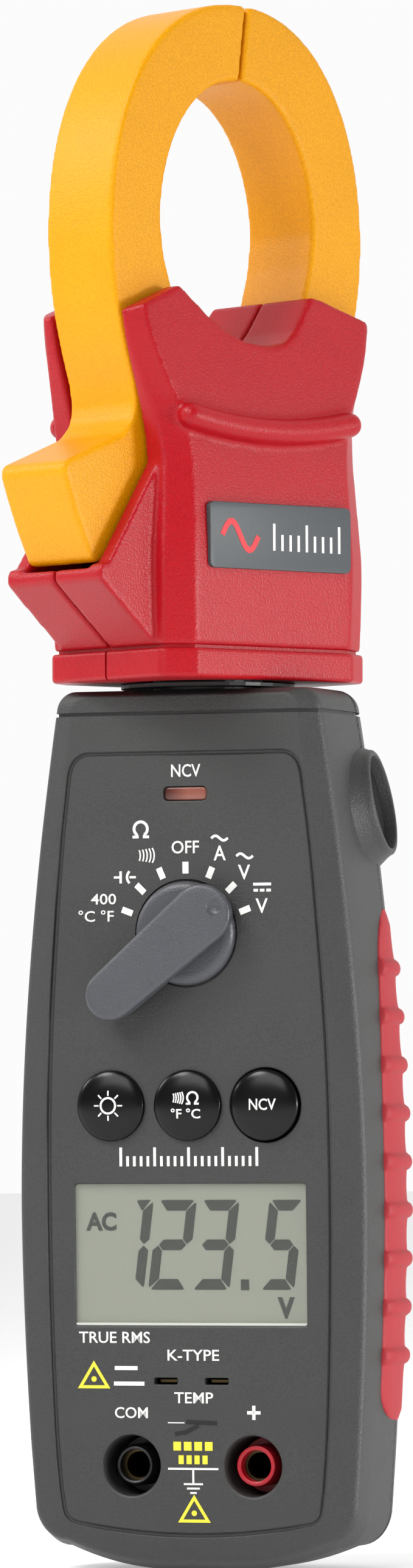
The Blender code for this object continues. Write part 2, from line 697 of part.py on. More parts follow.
def make_buttons():
    """Three domed buttons, the rubber mat behind them and the side button with its switch."""
    face = -front_depth(BUTTON_Z)
    dome = [(5.7, -4.4), (5.7, -3.4), (5.28, -3.39), (5.28, 0.1), (4.6, 0.65), (3.2, 1.0), (1.4, 1.15)]
    profile = [(radius * MM, height * MM) for radius, height in dome]
    for name, index in (("backlight_button", -1), ("mode_button", 0), ("sensing_button", 1)):
        centre = Vector((index * BUTTON_PITCH, face, BUTTON_Z))
        part(name, "button_rubber", turned(profile, centre, (0, -1, 0), 28), origin=centre)
    mat = part("keypad_membrane", "grip_rubber", box_mm((-19.0, -4.4, 62.0), (19.0, -3.6, 76.0)))
    for index in (-1, 0, 1):
        x = index * BUTTON_PITCH
        join(mat, rod(2.2 * MM, (x, -5.0 * MM, BUTTON_Z), (x, -4.0 * MM, BUTTON_Z), 12))
        part(
            f"key_switch_{index + 2}",
            "black_plastic",
            box((x - 2 * MM, -2.4 * MM, BUTTON_Z - 2 * MM), (x + 2 * MM, -1.3 * MM, BUTTON_Z + 2 * MM)),
        )
    seat = HOLD_CENTRE - HOLD_AXIS * 1.6 * MM
    profile = [(2.2, -7.0), (2.2, -3.0), (6.6, -2.99), (6.6, -0.4), (6.0, 0.1), (3.4, 0.4), (1.2, 0.45)]
    part(
        "hold_button",
        "button_rubber",
        turned([(radius * MM, height * MM) for radius, height in profile], seat, HOLD_AXIS, 28),
        origin=seat,
    )
    part("hold_switch", "black_plastic", box_mm((11.2, 0.9, 110.0), (14.4, 6.0, 115.0)))


def make_jacks():
    """Shrouded 4 mm sockets, black on the left and red on the right, and two thermocouple contacts."""
    mouth = -front_depth(JACK_Z) + 0.8 * MM
    for name, material, side in (("com_jack", "black_plastic", -1), ("positive_jack", "red_plastic", 1)):
        x = side * JACK_PITCH / 2
        shroud = [
            (SHROUD_RADIUS, 0.0),
            (SHROUD_RADIUS, 6.6 * MM),
            (4.1 * MM, 6.61 * MM),
            (4.1 * MM, 7.8 * MM),
            (3.4 * MM, 7.81 * MM),
            (3.4 * MM, 21.0 * MM),
            (2.75 * MM, 21.0 * MM),
            (2.75 * MM, 2.6 * MM),
            (SHROUD_BORE_RADIUS, 2.59 * MM),
            (SHROUD_BORE_RADIUS, 0.0),
        ]
        part(f"{name}_insulator", material, turned(shroud, (x, mouth, JACK_Z), (0, 1, 0), 24, bored=True))
        part(
            f"{name}_sleeve",
            "brass",
            tube(2.45 * MM, 2.0 * MM, (x, mouth + 2.9 * MM, JACK_Z), (x, mouth + 20.5 * MM, JACK_Z), 16),
        )
        slot_x = side * THERMOCOUPLE_SLOT_X
        low = (slot_x - 1.3 * MM, -8.6 * MM, THERMOCOUPLE_SLOT_Z - 0.2 * MM)
        high = (slot_x + 1.3 * MM, -1.4 * MM, THERMOCOUPLE_SLOT_Z + 0.2 * MM)
        part("thermocouple_contact_" + ("left" if side < 0 else "right"), "brass", box(low, high))


def make_swivel(head):
    """Hollow spigot held by both halves of the head and both covers, its washer and its detent spring."""
    z = [121.8, 124.2, 124.21, 133.2, 133.21, 135.9]
    wide, narrow = HUB_FLANGE_RADIUS, HUB_RADIUS
    lower = LOWER_FLANGE_RADIUS
    outer = [(lower, z[0]), (lower, z[1]), (narrow, z[2]), (narrow, z[3]), (wide, z[4]), (wide, z[5])]
    profile = [(r, h * MM) for r, h in outer] + [(5.5 * MM, z[5] * MM), (5.5 * MM, z[0] * MM)]
    turned_spigot = turned(profile, (0, 0, 0), (0, 0, 1), 32, bored=True)
    spigot = part("swivel_spigot", "black_plastic", turned_spigot, head)
    for angle in (90, 150, 210):
        direction = Vector((math.cos(math.radians(angle)), math.sin(math.radians(angle)), 0))
        notch = direction * LOWER_FLANGE_RADIUS
        foot = notch + Vector((0, 0, 120 * MM))
        cut(spigot, rod(0.9 * MM, foot, foot + Vector((0, 0, 4.0 * MM)), 8))
    low, high = (HEAD_AXIS + Vector((0, 0, level * MM)) for level in (131.0, 131.5))
    part("swivel_washer", "black_plastic", tube(13.0 * MM, HUB_RADIUS + GAP, low, high, 32))
    near = HEAD_AXIS.y + LOWER_FLANGE_RADIUS + GAP
    leaf = box((-6.0 * MM, near, 121.6 * MM), (6.0 * MM, near + 0.3 * MM, 124.4 * MM))
    part("swivel_detent_spring", "steel", leaf)


# ---------------------------------------------------------------- head shape


# Height, half width left and right, depth where the bevel starts, front half width and depth, in mm
HEAD_SECTIONS = (
    (131.8, 19.85, 19.85, 12.8, 15.4, 15.5),
    (150.0, 19.7, 19.7, 12.8, 15.3, 15.4),
    (158.0, 19.1, 19.1, 12.4, 15.1, 15.0),
    (165.0, 18.8, 18.8, 11.9, 15.2, 14.4),
    (171.0, 19.8, 19.4, 11.1, 16.4, 13.8),
    (176.0, 21.2, 20.9, 10.1, 18.8, 13.2),
    (181.0, 22.6, 23.0, 9.1, 20.8, 12.5),
    (186.5, 23.6, 25.0, 8.6, 21.9, 11.7),
    (192.0, 23.8, 25.4, 8.4, 22.0, 11.0),
)


def head_section(row, inset=0.0):
    z, left, right, bevel, flat, front = (value * MM for value in row)
    left, right, flat = left - inset, right - inset, flat - 0.7 * inset
    bevel, front = bevel - 0.5 * inset, front - inset
    rear_bevel = bevel + REAR_PLATE_FLARE * min(1.0, max(0.0, (z - 158.0 * MM) / (13.0 * MM)))
    corners = [(right, -bevel), (flat, -front), (-flat, -front), (-left, -bevel)]
    corners += [(-left, rear_bevel), (-flat, front), (flat, front), (right, bevel)]
    return [Vector((x, y, z)) for x, y in corners]


def top_profile():
    """Skyline of the head's front and rear plates, with the notch that continues the jaw opening."""
    return points(
        [
            (-23.6, 186.0),
            (-14.6, 190.0),
            (-9.3, 185.5),
            (-5.8, 183.3),
            (-2.5, 182.0),
            (2.5, 181.6),
            (5.2, 182.3),
            (7.3, 184.2),
            (9.3, 187.1),
            (10.9, 189.6),
            (13.0, 189.3),
            (25.4, 185.3),
        ]
    )


def slot_outline():
    """Space inside the head for both jaws: open on the left for the trigger and at the top."""
    return points(
        [
            (-45.0, 200.0),
            (-45.0, 149.8),
            (-28.2, 147.6),
            (-18.6, 139.4),
            (17.4, 139.4),
            (17.2, 150.0),
            (16.6, 165.0),
            (18.4, 173.0),
            (21.3, 181.0),
            (23.1, 184.0),
            (23.75, 186.6),
            (25.3, 194.0),
            (14.0, 194.0),
            (12.75, 190.0),
            (12.4, 188.4),
            (10.9, 184.4),
            (9.0, 181.0),
            (5.9, 179.6),
            (0.0, 179.4),
            (-4.6, 180.6),
            (-9.4, 183.4),
            (-10.2, 186.0),
            (-12.6, 191.0),
            (-16.0, 196.0),
        ]
    )


def ridge_path(side):
    """Centre line of the finger guard across the front or rear plate, lowest in the middle."""
    path = []
    for step in range(-7, 8):
        x = step / 7 * (17.2 if side < 0 else 17.8) * MM
        z = 168.7 * MM + 2.1 * MM * (step / 7) ** 2
        bulge = 14.9 * MM - 0.25 * MM * (step / 7) ** 2
        path.append(Vector((x, side * bulge, z)))
    return path


HEAD_SCREWS = (
    ("head_screw_left", -11.0, 143.6),
    ("head_screw_right", 13.2, 143.0),
    ("head_screw_upper", 12.4, 160.5),
)


def make_head_shell(name, side, head):
    """Front shell for side -1, rear shell for side 1."""
    shell = part(name, "head_plastic", rings_solid([head_section(row) for row in HEAD_SECTIONS]), head)
    ledge = points([(-16.0, 137.2), (-19.8, 137.2), (-29.9, 146.2), (-29.7, 147.6), (-28.6, 148.2)])
    ledge += points([(-18.2, 164.4), (-16.0, 164.4)])
    join(shell, prism(ledge, -10.9 * MM, 10.9 * MM))
    skyline = top_profile()
    above = skyline + points([(40.0, 183.0), (40.0, 205.0), (-40.0, 205.0), (-40.0, 184.0)])
    cut(shell, prism(above, -0.03, 0.03))
    inner = [(139.4, *HEAD_SECTIONS[0][1:])] + list(HEAD_SECTIONS[1:5]) + [(174.5, *HEAD_SECTIONS[4][1:])]
    cut(shell, rings_solid([head_section(row, inset=2.2 * MM) for row in inner]))
    cut(shell, prism(slot_outline(), -SLOT_HALF_DEPTH, SLOT_HALF_DEPTH))
    wall = side * 13.2 * MM
    join(shell, rod(4.4 * MM, PIVOT + Vector((0, side * 8.2 * MM, 0)), PIVOT + Vector((0, wall, 0)), 16))
    for screw, x, z in HEAD_SCREWS:
        start = Vector((x * MM, side * GAP / 2, z * MM))
        join(shell, rod(2.7 * MM, start, start + Vector((0, side * 13.2 * MM, 0)), 12))
    join(shell, swept_wire(ridge_path(side), 1.9 * MM, 10))
    through = Vector((0, 12.0 * MM, 0))
    cut(shell, rod(PIN_RADIUS + 0.15 * MM, PIVOT - through, PIVOT + through, 20))
    for screw, x, z in HEAD_SCREWS:
        if side > 0:
            cut(shell, rod(1.5 * MM, (x * MM, -1 * MM, z * MM), (x * MM, 30 * MM, z * MM), 12))
            cut(shell, rod(2.4 * MM, (x * MM, 9.8 * MM, z * MM), (x * MM, 30 * MM, z * MM), 14))
        else:
            cut(shell, rod(1.05 * MM, (x * MM, -9 * MM, z * MM), (x * MM, 1 * MM, z * MM), 10))
    centre = Vector((0, 0, 0))
    cut(shell, upright_rod(HUB_RADIUS + GAP, 120.0, 150.0, centre))
    cut(shell, upright_rod(HUB_FLANGE_RADIUS + GAP, 132.9, 136.2, centre))
    groove = 0.5 * MM
    row = HEAD_SECTIONS[0]
    for corners in groove_bars(row, groove):
        cut(shell, corners)
    far = 60 * MM
    y_low, y_high = sorted((-side * far, side * GAP / 2))
    cut(shell, box((-far, y_low, 0.1), (far, y_high, 0.25)))
    return shell


def groove_bars(row, depth):
    """Bars that sink a groove round the head's base ring."""
    low, high = 136.1 * MM, 136.6 * MM
    front = row[5] * MM - depth
    side = row[1] * MM - depth
    far = 50 * MM
    bars = [
        box((-far, -far, low), (far, -front, high)),
        box((-far, front, low), (far, far, high)),
        box((side, -far, low), (far, far, high)),
        box((-far, -far, low), (-side, far, high)),
    ]
    return bars


def jaw_outer_point(angle_deg):
    angle = math.radians(angle_deg)
    power = 2.0 / JAW_OUTER_POWER
    x = math.copysign(JAW_OUTER[0] * abs(math.cos(angle)) ** power, math.cos(angle))
    return (x, JAW_WIDEST_Z + JAW_OUTER[1] * abs(math.sin(angle)) ** power)


def hole_point(angle_deg):
    angle = math.radians(angle_deg)
    return (HOLE_RADII[0] * math.cos(angle), HOLE_WIDEST_Z + HOLE_RADII[1] * math.sin(angle))


def middle_point(angle_deg):
    """Point midway between the outer edge and the hole, where the core runs."""
    outer = jaw_outer_point(angle_deg)
    inner = hole_point(angle_deg)
    return ((outer[0] + inner[0]) / 2, (outer[1] + inner[1]) / 2)


def moving_jaw_outline():
    outline = [(1.95 * MM, 232.95 * MM)]
    outline += [jaw_outer_point(a) for a in (90, 96, 104, 112, 121, 131, 142, 155, 168, 180)]
    outline += points(
        [
            (-24.55, 192.5),
            (-23.8, 187.0),
            (-22.4, 181.0),
            (-20.7, 175.8),
            (-20.1, 172.4),
            (-20.6, 170.0),
            (-22.6, 167.8),
            (-28.4, 165.3),
            (-33.5, 163.2),
            (-33.9, 162.0),
            (-31.4, 155.0),
            (-28.5, 149.1),
            (-27.6, 148.6),
            (-20.6, 150.2),
            (-17.2, 159.0),
        ]
    )
    for angle in (240, 265, 290, 315):
        x, z = math.cos(math.radians(angle)), math.sin(math.radians(angle))
        outline.append((PIVOT.x + 6.3 * MM * x, PIVOT.z + 6.3 * MM * z))
    joint = JOINT_X - GAP
    outline += [(joint, 167.6 * MM), (joint, 177.4 * MM)]
    outline += points([(-6.6, 179.2), (-9.9, 182.2), (-11.6, 186.0), (-12.9, 190.0), (-14.3, 194.6)])
    outline += [hole_point(a) for a in (180, 168, 155, 142, 129, 117, 106, 97)]
    outline.append((0.55 * MM, 221.58 * MM))
    return outline


def fixed_jaw_outline():
    outline = [(0.85 * MM, 221.58 * MM)]
    outline += [hole_point(a) for a in (83, 74, 63, 51, 38, 25, 12, 0)]
    outline += points([(14.3, 194.6), (13.1, 190.2), (12.75, 188.4), (11.2, 184.2), (10.2, 180.8)])
    outline.append((10.2 * MM, 176.6 * MM))
    outline += points([(19.0, 176.6), (20.8, 181.0), (22.8, 184.2), (23.4, 186.6), (24.45, 192.5)])
    outline += [jaw_outer_point(a) for a in (0, 12, 25, 38, 49, 59, 68, 76, 84)]
    outline.append((2.25 * MM, 232.93 * MM))
    return outline


def core_path(side):
    """Centre line of one half of the laminated core, from the tip to the joint above the pivot."""
    sweep = (76, 66, 52, 38, 24, 10) if side > 0 else (104, 114, 128, 142, 156, 170)
    crest = middle_point(90)[1]
    path = [(2.1 * MM, crest), (2.8 * MM, crest)] if side > 0 else [(0.75 * MM, crest), (0.0, crest)]
    path += [middle_point(a) for a in sweep]
    if side > 0:
        path += points([(18.6, 190.0), (16.9, 183.0), (15.2, 177.0), (12.4, 173.4), (8.0, 172.3)])
        path.append((JOINT_X, CORE_LEG_Z))
    else:
        path += points([(-18.4, 190.0), (-16.4, 182.4), (-13.4, 176.4), (-10.2, 173.3), (-6.8, 172.3)])
        path.append((JOINT_X - GAP, CORE_LEG_Z))
    return path


def core_channel(path):
    """The core's path run on past both ends, so that the channel round it stays open."""
    (x0, z0), (x1, z1) = path[0], path[1]
    (x2, z2), (x3, z3) = path[-2], path[-1]
    return [(2 * x0 - x1, 2 * z0 - z1)] + path[1:-1] + [(x3 + 1.5 * (x3 - x2), z3 + 1.5 * (z3 - z2))]


def make_jaws(head):
    half = JAW_HALF_DEPTH
    moving_frame = frame_empty("jaw_pivot_axis", PIVOT, head)
    offset = Matrix.Translation(-PIVOT)
    moving = prism(moving_jaw_outline(), -half, half)
    moving.transform(offset)
    jaw = part("moving_jaw", "jaw_plastic", moving, moving_frame)
    channel = swept_bar(core_channel(core_path(-1)), 2.25 * MM + GAP, 4.0 * MM + GAP)
    channel.transform(offset)
    cut(jaw, channel)
    bore = rod(PIN_RADIUS + 0.15 * MM, (0, -0.02, 0), (0, 0.02, 0), 20)
    cut(jaw, bore)
    recess = rod(4.6 * MM, (0, -0.02, 0), (0, -3.6 * MM, 0), 20)
    cut(jaw, recess)
    core = swept_bar(core_path(-1), 2.25 * MM, 4.0 * MM)
    core.transform(offset)
    part("moving_jaw_core", "core_laminations", core, moving_frame)

    fixed = part("fixed_jaw", "jaw_plastic", prism(fixed_jaw_outline(), -half, half), head)
    cut(fixed, swept_bar(core_channel(core_path(1)), 2.25 * MM + GAP, 4.0 * MM + GAP))
    part("fixed_jaw_core", "core_laminations", swept_bar(core_path(1), 2.25 * MM, 4.0 * MM), head)

    coil = part("pickup_coil", "copper_winding", box_mm((0.0, -6.4, 167.0), (8.0, 6.4, 177.6)), head)
    cut(coil, box_mm((-5.0, -4.3, 169.75), (15.0, 4.3, 174.85)))

    part(
        "jaw_pivot_pin",
        "steel",
        rod(PIN_RADIUS, PIVOT - Vector((0, 11.7 * MM, 0)), PIVOT + Vector((0, 11.7 * MM, 0)), 20),
        head,
    )
    spring = helix(PIVOT + Vector((0, -4.2 * MM, 0)), (0, -1, 0), 3.3 * MM, 0.95 * MM, 2.6, 12)
    part("jaw_return_spring", "steel", swept_wire(spring, 0.35 * MM, 6), head)


def make_label(head):
    """Thin plate stuck to the front of the head, in line with the front face."""
    low, high = 148.0 * MM, 157.8 * MM
    depth = 15.25 * MM
    plate = box((-13.0 * MM, -depth - 0.75 * MM, low), (14.6 * MM, -depth - 0.35 * MM, high))
    part("label_plate", "label_plate", plate, head)


def make_head():
    head = frame_empty("head_swivel_axis", HEAD_AXIS, turn_z_deg=HEAD_SWIVEL_DEG)
    make_head_shell("head_front_shell", -1, head)
    make_head_shell("head_rear_shell", 1, head)
    make_jaws(head)
    make_label(head)
    for name, x, z in HEAD_SCREWS:
        make_screw(name, Vector((x * MM, 10.4 * MM, z * MM)), Vector((0, -1, 0)), 2.1, 0.95, 9.5, head)
    make_swivel(head)


clear_scene()
make_body()
make_battery_parts()
make_display()
make_board()
make_indicator()
make_selector()
make_buttons()
make_jacks()
make_head()
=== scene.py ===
"""Looks of a swivel-head clamp meter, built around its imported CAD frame.

Shapes are worked out in millimetres and scaled to metres as each piece is made. The head's pieces are drawn
facing -Y and then turned with the head.
"""

from math import asin, copysign, cos, degrees, exp, hypot, pi, radians, sin, sqrt, tan

import bmesh
import bpy
from mathutils import Matrix, Vector


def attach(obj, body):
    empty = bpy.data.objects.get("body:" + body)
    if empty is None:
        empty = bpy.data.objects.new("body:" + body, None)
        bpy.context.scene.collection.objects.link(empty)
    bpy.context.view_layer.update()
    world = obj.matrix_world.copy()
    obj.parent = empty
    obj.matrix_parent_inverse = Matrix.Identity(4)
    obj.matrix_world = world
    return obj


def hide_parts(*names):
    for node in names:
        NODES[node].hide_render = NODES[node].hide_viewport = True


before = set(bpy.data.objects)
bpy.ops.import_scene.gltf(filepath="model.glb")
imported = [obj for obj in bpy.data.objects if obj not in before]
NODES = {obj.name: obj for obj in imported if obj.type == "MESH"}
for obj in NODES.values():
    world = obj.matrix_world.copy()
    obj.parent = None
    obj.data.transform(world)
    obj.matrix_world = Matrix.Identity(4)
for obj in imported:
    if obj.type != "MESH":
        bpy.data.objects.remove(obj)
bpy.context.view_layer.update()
MM = 0.001
STAY = Matrix.Identity(4)
TURNED_HEAD = Matrix.Translation((0.0, -0.001, 0.0)) @ Matrix.Rotation(radians(60.0), 4, "Z")
PLACES = {"head": TURNED_HEAD, "moving_jaw": TURNED_HEAD}
CUT, ADD = "DIFFERENCE", "UNION"

BODY_TOP = 130.7
WIDEST = 54.0
SELECTOR_Z = 94.4
LEVER_TURN = Matrix.Rotation(radians(49.5), 3, "Y")
LEVER_HEIGHT = 5.58
BUTTON_Z = 68.9
BUTTON_PITCH = 12.1
BUTTON_RADIUS = 5.28
JACK_X = 9.525
JACK_Z = 15.6
PANEL_SINK = 0.2
HOLD_CENTRE = Vector((25.3, 6.0, 114.0))
HOLD_AXIS = Vector((0.975, 0.12, 0.185)).normalized()
BUTTONS = (("backlight_button", -1), ("mode_button", 0), ("sensing_button", 1))
DISPLAY_HALF = 18.2
DISPLAY_LOW, DISPLAY_HIGH = 36.3, 57.3
DISPLAY_MIDDLE = 46.8
INDICATOR_Z = 115.1
LID_MIDDLE = 49.0
LID_SCREW_Z = 74.2
LABEL_Z = 152.9
LABEL_FACE = -16.0
JAW_HALF = 7.5
GRIP_LOW, GRIP_HIGH = 22.0, 98.0
FIRST_RIB, RIB_PITCH, LAST_RIB = 31.6, 7.2, 8
RIB_HALF = 1.25


# ---- numbers and outlines


def linear(*rgb):
    """Scene colour for a display colour given from 0 to 255."""
    out = []
    for value in rgb:
        value /= 255.0
        out.append(value / 12.92 if value <= 0.04045 else ((value + 0.055) / 1.055) ** 2.4)
    return tuple(out)


def curve_through(rows, at):
    """Row of values at a height, on a smooth curve through the rows, which begin with their heights."""
    if at <= rows[0][0]:
        return rows[0][1:]
    if at >= rows[-1][0]:
        return rows[-1][1:]
    index = max(i for i in range(len(rows) - 1) if rows[i][0] <= at)
    a, b = rows[index], rows[index + 1]
    before = rows[index - 1] if index else a
    after = rows[index + 2] if index + 2 < len(rows) else b
    span = b[0] - a[0]
    t = (at - a[0]) / span
    out = []
    for k in range(1, len(a)):
        slope_a = (b[k] - before[k]) / (b[0] - before[0]) * span
        slope_b = (after[k] - a[k]) / (after[0] - a[0]) * span
        value = (2 * t**3 - 3 * t**2 + 1) * a[k] + (t**3 - 2 * t**2 + t) * slope_a
        out.append(value + (3 * t**2 - 2 * t**3) * b[k] + (t**3 - t**2) * slope_b)
    return out


def softened(rows, reach=0.3, steps=4):
    """Rows of numbers with each inner corner replaced by a short curve."""
    out = [rows[0]]
    for a, b, c in zip(rows, rows[1:], rows[2:]):
        start = [q + (p - q) * reach for p, q in zip(a, b)]
        end = [q + (p - q) * reach for p, q in zip(c, b)]
        for k in range(steps + 1):
            t = k / steps
            out.append([(1 - t) ** 2 * p + 2 * t * (1 - t) * q + t * t * r for p, q, r in zip(start, b, end)])
    out.append(rows[-1])
    return out


def filleted(corners, steps=5):
    """Closed outline from corners (x, z, radius)."""
    out = []
    count = len(corners)
    for i, (x, z, radius) in enumerate(corners):
        here = Vector((x, z))
        if radius <= 0:
            out.append((x, z))
            continue
        a = Vector(corners[i - 1][:2]) - here
        b = Vector(corners[(i + 1) % count][:2]) - here
        half = max(a.angle(b, pi) / 2, 0.05)
        reach = min(radius / tan(half) if half < 1.5 else radius, 0.46 * a.length, 0.46 * b.length)
        start, end = here + a.normalized() * reach, here + b.normalized() * reach
        for k in range(steps + 1):
            t = k / steps
            point = start * (1 - t) ** 2 + here * (2 * t * (1 - t)) + end * t**2
            out.append((point.x, point.y))
    return out


def anticlockwise(outline):
    pairs = zip(outline, outline[1:] + outline[:1])
    return sum(a[0] * b[1] - b[0] * a[1] for a, b in pairs) > 0


def mitre(a, b, c, least):
    """Way out of corner b of a path, to its right, that keeps one distance from both of its sides."""
    first, second = (b - a).normalized(), (c - b).normalized()
    first, second = first if first.length else second, second if second.length else first
    normal = Vector((first.y + second.y, -first.x - second.x)).normalized()
    return normal / max(least, normal.dot(Vector((first.y, -first.x))))


def grown(outline, distance):
    """Closed outline moved outwards by a distance."""
    points = [Vector(point) for point in outline]
    if not anticlockwise(outline):
        distance = -distance
    corners = zip(points[-1:] + points[:-1], points, points[1:] + points[:1])
    return [tuple(b + mitre(a, b, c, 0.55) * distance) for a, b, c in corners]


def rounded_rect(x, z, width, height, radius, steps=5):
    w, h = width / 2, height / 2
    corners = ((x - w, z - h), (x + w, z - h), (x + w, z + h), (x - w, z + h))
    return filleted([(*corner, radius) for corner in corners], steps)


def arc(x, z, radius, start, end, count=20):
    """Points on a circle from one angle to another, in degrees."""
    angles = [radians(start + (end - start) * k / count) for k in range(count + 1)]
    return [(x + radius * cos(a), z + radius * sin(a)) for a in angles]


def circle(x, z, radius, count=48):
    return arc(x, z, radius, 0, 360, count)[:-1]


def half_width(z):
    if z > WIDEST:
        return 28.1 - 7.15 * ((z - WIDEST) / (BODY_TOP - WIDEST)) ** 1.8
    return 28.1 - 2.6 * ((WIDEST - z) / WIDEST) ** 1.7


PANEL_ROWS = (
    (0.0, 19.7), (7.0, 20.2), (20.0, 21.3), (41.0, 22.0), (62.0, 22.1), (79.0, 21.65), (97.5, 20.4),
    (109.0, 19.4), (118.0, 18.3), (131.0, 16.9),
)


def panel_half(z):
    return curve_through(PANEL_ROWS, z)[0]


def front_depth(z):
    return 9.8 + 2.2 * z / BODY_TOP


# ---- solids


def loft(rings, loop=False, caps=True):
    """Surface through rings of equally many points."""
    bm = bmesh.new()
    loops = [[bm.verts.new(p) for p in ring] for ring in rings]
    pairs = list(zip(loops, loops[1:]))
    if loop:
        pairs.append((loops[-1], loops[0]))
    elif caps:
        bm.faces.new(loops[0])
        bm.faces.new(loops[-1])
    count = len(loops[0])
    for low, high in pairs:
        for i in range(count):
            j = (i + 1) % count
            bm.faces.new((low[i], low[j], high[j], high[i]))
    bmesh.ops.recalc_face_normals(bm, faces=bm.faces)
    return bm


def upright(outline, y):
    """Front-view outline stood at a depth."""
    return [Vector((x, y, z)) for x, z in outline]


def prism(outline, y_low, y_high):
    return loft([upright(outline, y_low), upright(outline, y_high)])


def stepped(outline, rows, ring_at=upright):
    """Solid through copies of an outline. Each row: how far the copy is grown, and its depth."""
    return loft([ring_at(grown(outline, growth), depth) for growth, depth in rows])


def box(low, high):
    (x0, y0, z0), (x1, y1, z1) = low, high
    return prism([(x0, z0), (x1, z0), (x1, z1), (x0, z1)], y0, y1)


def turned(profile, base, axis, segments=64, loop=False):
    """Surface of revolution. The profile holds (radius, height along the axis)."""
    turn = Vector(axis).to_track_quat("Z", "Y").to_matrix()
    rings = []
    for radius, height in profile:
        ring = circle(0.0, 0.0, radius, segments)
        rings.append([Vector(base) + turn @ Vector((x, y, height)) for x, y in ring])
    return loft(rings, loop)


def rod(radius, start, end, segments=48):
    span = Vector(end) - Vector(start)
    return turned([(radius, 0.0), (radius, span.length)], start, span, segments)


def rod_y(radius, x, z, y_low, y_high, segments=48):
    return rod(radius, (x, y_low, z), (x, y_high, z), segments)


def swept(path, radii, sides=20):
    """Round bar along points in space, with a radius at each."""
    rings = []
    for i, centre in enumerate(path):
        along = (path[min(i + 1, len(path) - 1)] - path[max(i - 1, 0)]).normalized()
        across = along.orthogonal().normalized() if i == 0 else across
        across = (across - along * across.dot(along)).normalized()
        other = along.cross(across)
        ring = circle(0.0, 0.0, radii[i], sides)
        rings.append([centre + across * u + other * v for u, v in ring])
    return loft(rings)


def swept_bar(path, half_w, half_d):
    """Bar of rectangular section along a front-view path."""
    rings = []
    for i, (x, z) in enumerate(path):
        x0, z0 = path[max(i - 1, 0)]
        x1, z1 = path[min(i + 1, len(path) - 1)]
        side = Vector((z0 - z1, 0.0, x1 - x0)).normalized() * half_w
        centre, near = Vector((x, 0.0, z)), Vector((0.0, half_d, 0.0))
        rings.append([centre + side + near, centre - side + near, centre - side - near, centre + side - near])
    return loft(rings)


def merged(*parts):
    """One mesh that holds several."""
    out = parts[0]
    for bm in parts[1:]:
        mesh = bpy.data.meshes.new("merged")
        bm.to_mesh(mesh)
        bm.free()
        out.from_mesh(mesh)
        bpy.data.meshes.remove(mesh)
    return out


def add_object(name, data):
    obj = bpy.data.objects.new(name, data)
    bpy.context.scene.collection.objects.link(obj)
    return obj


def new_object(name, bm):
    mesh = bpy.data.meshes.new(name)
    bm.to_mesh(mesh)
    bm.free()
    return add_object(name, mesh)


def settled(obj):
    """Applies the object's modifiers."""
    graph = bpy.context.evaluated_depsgraph_get()
    graph.update()
    mesh = bpy.data.meshes.new_from_object(obj.evaluated_get(graph))
    obj.modifiers.clear()
    old = obj.data
    obj.data = mesh
    bpy.data.meshes.remove(old)
    return obj


def shaped(bm, steps, voxel=0.0, rounds=0):
    """Applies Boolean steps (operation, mesh), then rounds every edge by remeshing; gives a mesh back."""
    obj = new_object("shaping", bm)
    helpers = []
    for operation, other in steps:
        helper = new_object("shaping_tool", other)
        helper.hide_render = True
        modifier = obj.modifiers.new(operation, "BOOLEAN")
        modifier.operation = operation
        modifier.solver = "EXACT"
        modifier.object = helper
        helpers.append(helper)
    if voxel:
        modifier = obj.modifiers.new("remesh", "REMESH")
        modifier.mode = "VOXEL"
        modifier.voxel_size = voxel * 1.0
        modifier = obj.modifiers.new("smooth", "SMOOTH")
        modifier.factor = 0.5
        modifier.iterations = rounds // 1
    settled(obj)
    out = bmesh.new()
    out.from_mesh(obj.data)
    for used in [obj] + helpers:
        mesh = used.data
        bpy.data.objects.remove(used)
        bpy.data.meshes.remove(mesh)
    return out


# ---- materials


def add_node(owner, kind, **inputs):
    """New shader node with its inputs set. An underscore in an input's name stands for a space."""
    node = owner.node_tree.nodes.new("ShaderNode" + kind)
    for socket, value in inputs.items():
        node.inputs[socket.replace("_", " ")].default_value = value
    return node


def link(owner, *rows):
    """Links, each given as the node and output that it leaves and the node and input that it enters."""
    for source, output, target, socket in rows:
        owner.node_tree.links.new(source.outputs[output], target.inputs[socket])


def surface(name, colour, roughness, grain, relief, mottle=0.05, patch=9.0, sockets=()):
    """Moulded or metal surface with fine grain, and faint tone and gloss patches. Their sizes are in mm."""
    material = bpy.data.materials.new(name)
    material.use_nodes = True
    shader = material.node_tree.nodes["Principled BSDF"]
    for socket, value in dict(sockets).items():
        shader.inputs[socket].default_value = value
    place = add_node(material, "TexCoord")
    fine = add_node(material, "TexNoise", Scale=1000.0 / grain, Detail=2.0)
    broad = add_node(material, "TexNoise", Scale=1000.0 / patch, Detail=4.0)
    crisp = add_node(material, "MapRange", From_Min=0.32, From_Max=0.68)
    speckle = add_node(material, "Mix", Factor=0.6)
    tone = add_node(material, "Mix")
    tone.data_type = "RGBA"
    tone.inputs["A"].default_value = (*[c * (1 - mottle) for c in colour], 1.0)
    tone.inputs["B"].default_value = (*[min(c * (1 + mottle), 1.0) for c in colour], 1.0)
    gloss = add_node(material, "MapRange", To_Min=roughness * 0.86, To_Max=min(roughness * 1.14, 1.0))
    bump = add_node(material, "Bump", Strength=relief, Distance=0.06 * MM)
    link(
        material,
        (place, "Object", fine, "Vector"),
        (place, "Object", broad, "Vector"),
        (broad, "Fac", speckle, "A"),
        (fine, "Fac", crisp, "Value"),
        (crisp, "Result", speckle, "B"),
        (speckle, "Result", tone, "Factor"),
        (tone, "Result", shader, "Base Color"),
        (broad, "Fac", gloss, "Value"),
        (gloss, "Result", shader, "Roughness"),
        (crisp, "Result", bump, "Height"),
        (bump, "Normal", shader, "Normal"),
    )
    return material


